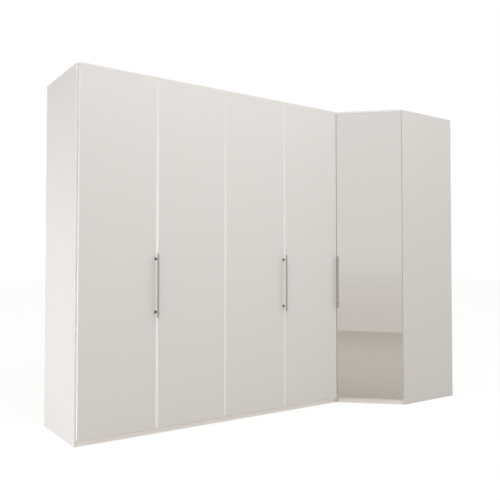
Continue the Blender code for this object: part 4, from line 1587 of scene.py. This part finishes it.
@dataclass
class Doors:
    """Leaves of the two folding pairs and the mirror door, with their fittings."""

    plan: Plan
    frame: Mapping[str, Any]
    mirror: Place
    # painted light: each leaf's lap sets how wide the near-white band of its joints shows, widest on leaf 1,
    # narrowest on leaf 4
    run: tuple[Leaf, ...] = (Leaf(1, Body.LEAF_1, (1.0,), 0.0050), Leaf(2, Body.LEAF_2, (0.0, 1.0), 0.0036),
                             Leaf(3, Body.LEAF_3, (0.0, 1.0), 0.0012), Leaf(4, Body.LEAF_4, (0.0,), 0.0008))
    steel: PlatedSteel = PlatedSteel("zinc_steel")
    nylon: MouldedNylon = MouldedNylon("grey_nylon")
    rim: Lacquer = Lacquer("leaf_rim", (0.735, 0.718, 0.703), 0.28)
    edge: Lacquer = Lacquer("leaf_edge", (0.73, 0.72, 0.705), 0.30)
    # painted light: the near-white band of the joints and lips stands for the lit leaf edges there, lit more
    # near the floor
    band: PaintedLightLacquer = PaintedLightLacquer("leaf_lit_band", (0.985, 0.98, 0.97), 0.26)
    back: Melamine = Melamine("leaf_back", (0.71, 0.70, 0.686), 0.5)
    glass: PaintedGlass = PaintedGlass("painted_glass")
    bar: BrushedMetal = BrushedMetal("brushed_steel_bar", (0.62, 0.60, 0.575), 0.34,
                                     Pattern(1.0, 3.0, (900.0, 900.0, 9.0)))
    # partly painted shade: the roses are a dark part, and their near black also stands for the shade round
    # the handle feet
    rose: MouldedNylon = MouldedNylon("black_rose_and_shade", (0.022, 0.021, 0.020), 0.38)
    pane_cover: float = 0.00025
    pane_chamfer: float = 0.0004
    pane_corner: float = 0.0015
    mirror_rim: float = 0.0025
    sheet_front: float = 0.00022
    sheet_depth: float = 0.00018
    sheet_chamfer: float = 0.00006
    lip_seat: float = 0.00005
    lip_end: float = 0.0006
    lip_chamfer: float = 0.0002
    lip_corner: float = 0.0003
    lip_depth: float = 0.0020
    top_lip_height: float = 0.0010
    fold_lip_width: float = 0.0032
    meeting_lip_width: float = 0.0026
    meeting_lip_depth: float = 0.0008
    handle_inset: float = 0.009

    def leaves(self) -> None:
        """Dress boards and panes of the run's leaves, and build the lips above them."""
        plan = self.plan
        for leaf in self.run:
            left = plan.leaf_left(leaf.number)
            corner = Place(left, plan.front())
            sides = tuple(left + share * plan.leaf_width for share in leaf.lit_sides)
            dress(self.frame, [f"door_leaf_{leaf.number}_board"],
                  LeafFrame(f"leaf_{leaf.number}_frame", REARWARD, plan.front(), plan.leaf_thickness, RIGHT,
                            sides, self.rim, self.edge, self.band, self.back, leaf.lit_lap))
            self.pane(f"door_leaf_{leaf.number}_pane", leaf.body, corner, plan.leaf_width, self.glass,
                      Slot.WHITE_GLASS)
            self.top_lip(f"leaf_{leaf.number}_top_lip", leaf.body, corner, plan.leaf_width)

    def mirror_leaf(self) -> None:
        """Dress the mirror door, and build its pane, the lip above it and the thin face of the mirror."""
        plan, rim, width = self.plan, self.mirror_rim, self.plan.mirror_width
        dress(self.frame, ["mirror_door_board"],
              LeafFrame("mirror_leaf_frame", self.mirror.inward(), self.mirror.depth() - plan.pivot_depth,
                        plan.leaf_thickness, self.mirror.sideways(), (), self.rim, self.edge, self.band,
                        self.back))
        corner = self.mirror.within(plan.pivot_inset - width, -plan.pivot_depth)
        self.top_lip("mirror_door_top_lip", Body.MIRROR_DOOR, corner, width)
        edge = self.mirror.across() + plan.pivot_inset
        low, high = plan.leaf_low + rim, plan.leaf_high - rim
        glass = MirrorGlass("mirror_glass", self.mirror.sideways(), edge - width + rim, edge - rim, low, high)
        self.pane("mirror_door_pane", Body.MIRROR_DOOR, corner, width, glass, Slot.MIRROR_PANE)
        Slab("mirror_door_sheet", Body.MIRROR_DOOR, corner.within(0.0, -self.sheet_front), Slot.MIRROR_PANE,
             rim, width - rim, low, high, self.sheet_depth, self.sheet_chamfer, self.pane_corner,
             ("mirror_door_pane",)).build(glass)

    def pane(self, name: str, body: Body, corner: Place, width: float, finish: Finish, slot: Slot) -> None:
        """Build a pane with ground edges in place of its CAD node, closing the joint to its rim.

        Args:
            name: Name of the CAD node.
            body: Body of the leaf.
            corner: Frame at the leaf's left edge, on its front plane.
            width: Width of the leaf.
            finish: Finish of the pane.
            slot: Material slot of the pane.
        """
        plan = self.plan
        edge = plan.rim_width + plan.seat - self.pane_cover
        Slab(name + "_ground", body, corner, slot, edge, width - edge, plan.leaf_low + edge,
             plan.leaf_high - edge, plan.pane, self.pane_chamfer, self.pane_corner, (name,)).build(finish)

    def top_lip(self, name: str, body: Body, corner: Place, width: float) -> None:
        """Build the soft lip on the top edge of a leaf, under the head rail.

        Args:
            name: Name of the lip.
            body: Body of the leaf.
            corner: Frame at the leaf's left edge, on its front plane.
            width: Width of the leaf.
        """
        top = self.plan.leaf_high + self.lip_seat
        Slab(name, body, corner, Slot.LEAF_BOARD, self.lip_end, width - self.lip_end, top,
             top + self.top_lip_height, self.lip_depth, self.lip_chamfer, self.lip_corner).build(self.rim)

    def side_lips(self) -> None:
        """Build the near-white lips that fill the joints between the leaves of the run, as painted light on
        the leaf edges.

        The lip of a folding joint stands on the guided leaf. Where the two pairs meet it is thinner, to
        clear the corner of leaf 3, which sweeps past it.
        """
        plan, seat = self.plan, self.lip_seat
        for lip in (Lip("leaf_2_fold_lip", Body.LEAF_2, 2, -self.fold_lip_width, -seat, self.lip_depth),
                    Lip("leaf_4_fold_lip", Body.LEAF_4, 4, -self.fold_lip_width, -seat, self.lip_depth),
                    Lip("leaf_2_meeting_lip", Body.LEAF_2, 2, plan.leaf_width + seat,
                        plan.leaf_width + self.meeting_lip_width, self.meeting_lip_depth)):
            Slab(lip.name, lip.body, Place(plan.leaf_left(lip.number), plan.front()), Slot.LEAF_BOARD,
                 lip.left, lip.right, plan.leaf_low + self.lip_end, plan.leaf_high - self.lip_end,
                 # painted light: the lips take the near-white band lacquer
                 lip.depth, self.lip_chamfer, self.lip_corner).build(self.band)

    def handles(self) -> None:
        """Build the three handles."""
        plan = self.plan
        for number, body in ((1, Body.LEAF_1), (3, Body.LEAF_3)):
            x = plan.leaf_left(number) + plan.leaf_width - self.handle_inset
            Handle(f"handle_{number}", body, Place(x, plan.front())).build(self.bar, self.rose)
        x = plan.pivot_inset - plan.mirror_width + self.handle_inset
        place = self.mirror.within(x, -plan.pivot_depth)
        Handle("mirror_door_handle", Body.MIRROR_DOOR, place).build(self.bar, self.rose)

    def pins(self) -> None:
        """Build the pivot pins, the guide pins and their rollers."""
        plan = self.plan
        for name, body, place in (("top_pivot_pin_1", Body.LEAF_1, plan.hinge(1)),
                                  ("top_pivot_pin_3", Body.LEAF_3, plan.hinge(3)),
                                  ("mirror_door_top_pin", Body.MIRROR_DOOR, self.mirror)):
            PivotPin(name, body, place, plan.leaf_high).build(self.steel)
        for number, body, turning in ((2, Body.LEAF_2, Body.ROLLER_2), (4, Body.LEAF_4, Body.ROLLER_4)):
            name, place = f"guide_roller_{number}", plan.roller(number)
            roller = GuideRoller(name, turning, place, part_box(name)[0].z)
            GuidePin(f"guide_pin_{number}", body, place, plan.leaf_high, roller_low=roller.low,
                     roller_high=roller.low + roller.height).build(self.steel)
            roller.build(self.nylon)

    def build(self) -> None:
        """Dress and detail all doors."""
        self.leaves()
        self.mirror_leaf()
        self.side_lips()
        self.handles()
        FoldHinges(self.plan, self.frame, self.steel).build()
        self.pins()


class StudioGraph(Graph):
    """Nodes of a stage material or of the world: plain shaders, told apart by the kind of ray."""

    def shader(self, kind: str, colour: Union[Value, Colour]) -> Value:
        """Add a plain shader of a colour."""
        return self.node(kind, None, {"Color": colour})

    def total(self, first: Value, second: Value) -> Value:
        """Return the sum of two shaders."""
        return self.node("ShaderNodeAddShader", None, {0: first, 1: second})

    def ray(self, kind: Ray) -> Value:
        """One where light comes by this kind of ray, else zero."""
        return self.node("ShaderNodeLightPath", output=kind.value)

    def mix(self, share: Value, other: Value, seen: Value) -> Value:
        """Return the second shader where the share is one, and the first one for the rest."""
        return self.node("ShaderNodeMixShader", None, {0: share, 1: other, 2: seen})


@dataclass(frozen=True)
class Lamp:
    """Area lamp: where it hangs, the point that it faces, its width and height, its watts and colour."""

    name: str
    place: Point
    aim: Point
    size: tuple[float, float]
    power: float
    colour: Colour = WHITE

    def hang(self) -> None:
        """Hang the lamp, so that neither the camera nor gloss shows it."""
        data = bpy.data.lights.new(self.name, "AREA")
        data.shape = "RECTANGLE"
        data.size, data.size_y = self.size
        data.energy = self.power
        data.color = self.colour
        lamp = bpy.data.objects.new(self.name, data)
        lamp.visible_glossy = False
        lamp.visible_camera = False
        turn = (Vector(self.aim) - Vector(self.place)).to_track_quat("-Z", "Y").to_matrix().to_4x4()
        lamp.matrix_world = Matrix.Translation(self.place) @ turn
        bpy.context.scene.collection.objects.link(lamp)


@dataclass
class Studio:
    """Pale floor, soft lights and the camera.

    The lamps are a low one beside the left panel, two high over the doors, and two in front. The
    backdrop has a tone at its foot, one in its middle and one at its top, and each rise is the stretch
    of height over which one turns into the next.
    """

    camera_place: Point = (-2.57695, -3.449539, 1.0082)
    camera_yaw: float = radians(55.127)
    camera_pitch: float = radians(1.526)
    camera_reach: float = 160.0
    lens: float = 43.63
    sensor: float = 36.0
    floor_reach: float = 40.0
    floor_gap: float = 0.0005
    floor_lines: int = 9
    floor_colour: Colour = (0.74, 0.715, 0.68)
    shadow_share: Colour = (0.22, 0.22, 0.22)
    floor_glow: Colour = (0.815, 0.815, 0.815)
    mirrored_floor: Colour = (0.545, 0.505, 0.460)
    backdrop_radius: float = 6.2
    backdrop_sweep: float = 1.4
    backdrop_height: float = 7.0
    backdrop_arc: tuple[float, float] = (radians(150), radians(390))
    arc_points: int = 49
    bend_points: int = 10
    foot_tone: Colour = (0.60, 0.567, 0.528)
    middle_tone: Colour = (0.71, 0.69, 0.662)
    top_tone: Colour = (0.765, 0.75, 0.732)
    middle_rise: tuple[float, float] = (0.05, 1.5)
    top_rise: tuple[float, float] = (1.2, 4.5)
    ambient: float = 0.748
    ambient_colour: Colour = (1.0, 0.985, 0.965)
    lamps: tuple[Lamp, ...] = (
        Lamp("left_lamp", (-3.9, 0.25, 0.15), (-1.44, 0.25, 0.3), (1.4, 0.6), 57.0, (0.945, 0.968, 1.0)),
        Lamp("top_lamp", (0.3, -2.4, 4.2), (0.3, 0.0, 1.6), (4.0, 1.5), 33.0),
        Lamp("top_left_lamp", (-1.6, -2.2, 3.8), (-0.6, 0.0, 1.8), (2.5, 1.5), 21.0),
        Lamp("front_left_lamp", (-3.2, -4.6, 2.2), (-0.4, 0.0, 1.2), (3.2, 2.6), 4.0),
        Lamp("front_right_lamp", (2.4, -5.0, 1.7), (0.8, 0.0, 0.6), (4.0, 3.0), 20.0))

    def camera(self) -> None:
        """Set up the camera at the photograph's viewing angle."""
        level = cos(self.camera_pitch)
        forward = Vector((cos(self.camera_yaw) * level, sin(self.camera_yaw) * level,
                          sin(self.camera_pitch)))
        data = bpy.data.cameras.new("studio_camera")
        data.lens = self.lens
        data.sensor_width = self.sensor
        data.clip_end = self.camera_reach
        camera = bpy.data.objects.new("studio_camera", data)
        turn = forward.to_track_quat("-Z", "Y").to_matrix().to_4x4()
        camera.matrix_world = Matrix.Translation(self.camera_place) @ turn
        bpy.context.scene.collection.objects.link(camera)
        bpy.context.scene.camera = camera

    def floor(self) -> None:
        """Lay the floor: pale in the light, near white to the camera, with the object's shadow."""
        graph = StudioGraph(bpy.data.materials.new("studio_floor"))
        pale = graph.shader("ShaderNodeBsdfDiffuse", self.floor_colour)
        shown = graph.total(graph.shader("ShaderNodeBsdfDiffuse", self.shadow_share),
                            graph.shader("ShaderNodeEmission", self.floor_glow))
        mirrored = graph.shader("ShaderNodeBsdfDiffuse", self.mirrored_floor)
        unseen = graph.mix(graph.ray(Ray.GLOSSY), pale, mirrored)
        graph.show(graph.mix(graph.ray(Ray.CAMERA), unseen, shown))
        steps = np.linspace(-self.floor_reach, self.floor_reach, self.floor_lines)
        x, y = np.meshgrid(steps, steps, indexing="ij")
        self.sheet("studio_floor", np.stack([x, y, np.full_like(x, -self.floor_gap)], axis=-1), graph)

    def backdrop(self) -> None:
        """Stand a curved backdrop in front of the doors, which shows in gloss and in the mirror only.

        A profile of depth and height, a quarter circle and then a wall, is carried round an arc. Its
        light rises from grey at the foot to pale at the top.
        """
        graph = StudioGraph(bpy.data.materials.new("studio_backdrop"))
        height = graph.along(UPWARD)
        low = graph.blend(height.rise(*self.middle_rise), self.foot_tone, self.middle_tone, Mix.COLOUR)
        tone = graph.blend(height.rise(*self.top_rise), low, self.top_tone, Mix.COLOUR)
        graph.show(graph.shader("ShaderNodeEmission", tone))
        bend = np.linspace(-pi / 2, 0.0, self.bend_points)
        radius, sweep, top = self.backdrop_radius, self.backdrop_sweep, self.backdrop_height
        out = np.concatenate([radius - sweep + sweep * np.cos(bend), [radius, radius]])
        rise = np.concatenate([sweep + sweep * np.sin(bend), [top / 2, top]])
        angle = np.linspace(*self.backdrop_arc, self.arc_points)[:, None]
        points = np.stack([out * np.cos(angle), out * np.sin(angle),
                           np.broadcast_to(rise, (self.arc_points, len(rise)))], axis=-1)
        sheet = self.sheet("studio_backdrop", points, graph)
        sheet.visible_camera = False
        sheet.visible_diffuse = False
        sheet.visible_shadow = False
        sheet.visible_transmission = False

    def sheet(self, name: str, points: np.ndarray, graph: StudioGraph) -> bpy.types.Object:
        """Make a stage sheet from a grid of points.

        Args:
            name: Name of the sheet.
            points: Array (rows, columns, 3).
            graph: Graph of its finished material.

        Returns:
            The sheet.
        """
        rows, columns = points.shape[:2]
        index = np.arange(rows * columns).reshape(rows, columns)
        quads = np.stack([index[:-1, :-1], index[1:, :-1], index[1:, 1:], index[:-1, 1:]], axis=-1)
        mesh = bpy.data.meshes.new(name)
        mesh.from_pydata(points.reshape(-1, 3), [], quads.reshape(-1, 4).tolist())
        mesh.shade_smooth()
        mesh.materials.append(graph.owner)
        sheet = bpy.data.objects.new(name, mesh)
        bpy.context.scene.collection.objects.link(sheet)
        return sheet

    def world(self) -> None:
        """Light everything evenly; camera, gloss and glass see plain white."""
        world = bpy.data.worlds.new("studio_world")
        bpy.context.scene.world = world
        graph = StudioGraph(world)
        seen = graph.ray(Ray.CAMERA).most(graph.ray(Ray.GLOSSY)).most(graph.ray(Ray.TRANSMISSION))
        soft = graph.node("ShaderNodeBackground", None,
                          {"Color": self.ambient_colour, "Strength": self.ambient})
        graph.show(graph.mix(seen, soft, graph.shader("ShaderNodeBackground", WHITE)))

    def build(self) -> None:
        """Build the whole studio."""
        bpy.context.scene.view_settings.view_transform = "Standard"
        self.world()
        self.floor()
        self.backdrop()
        for lamp in self.lamps:
            lamp.hang()
        self.camera()
        LOG.info("studio: floor, backdrop, lamps and camera")


def main() -> None:
    """Load the frame, dress and detail the wardrobe, and set up the studio."""
    logging.basicConfig(level=logging.INFO, format="%(message)s")
    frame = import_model()
    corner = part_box("left_side_panel")[0]
    plan = Plan(corner.x, corner.y)
    mirror = plan.mirror_hinge(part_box("mirror_door_top_pin"))
    Carcass(plan, frame, mirror).build()
    Doors(plan, frame, mirror).build()
    Studio().build()


if __name__ == "__main__":
    main()
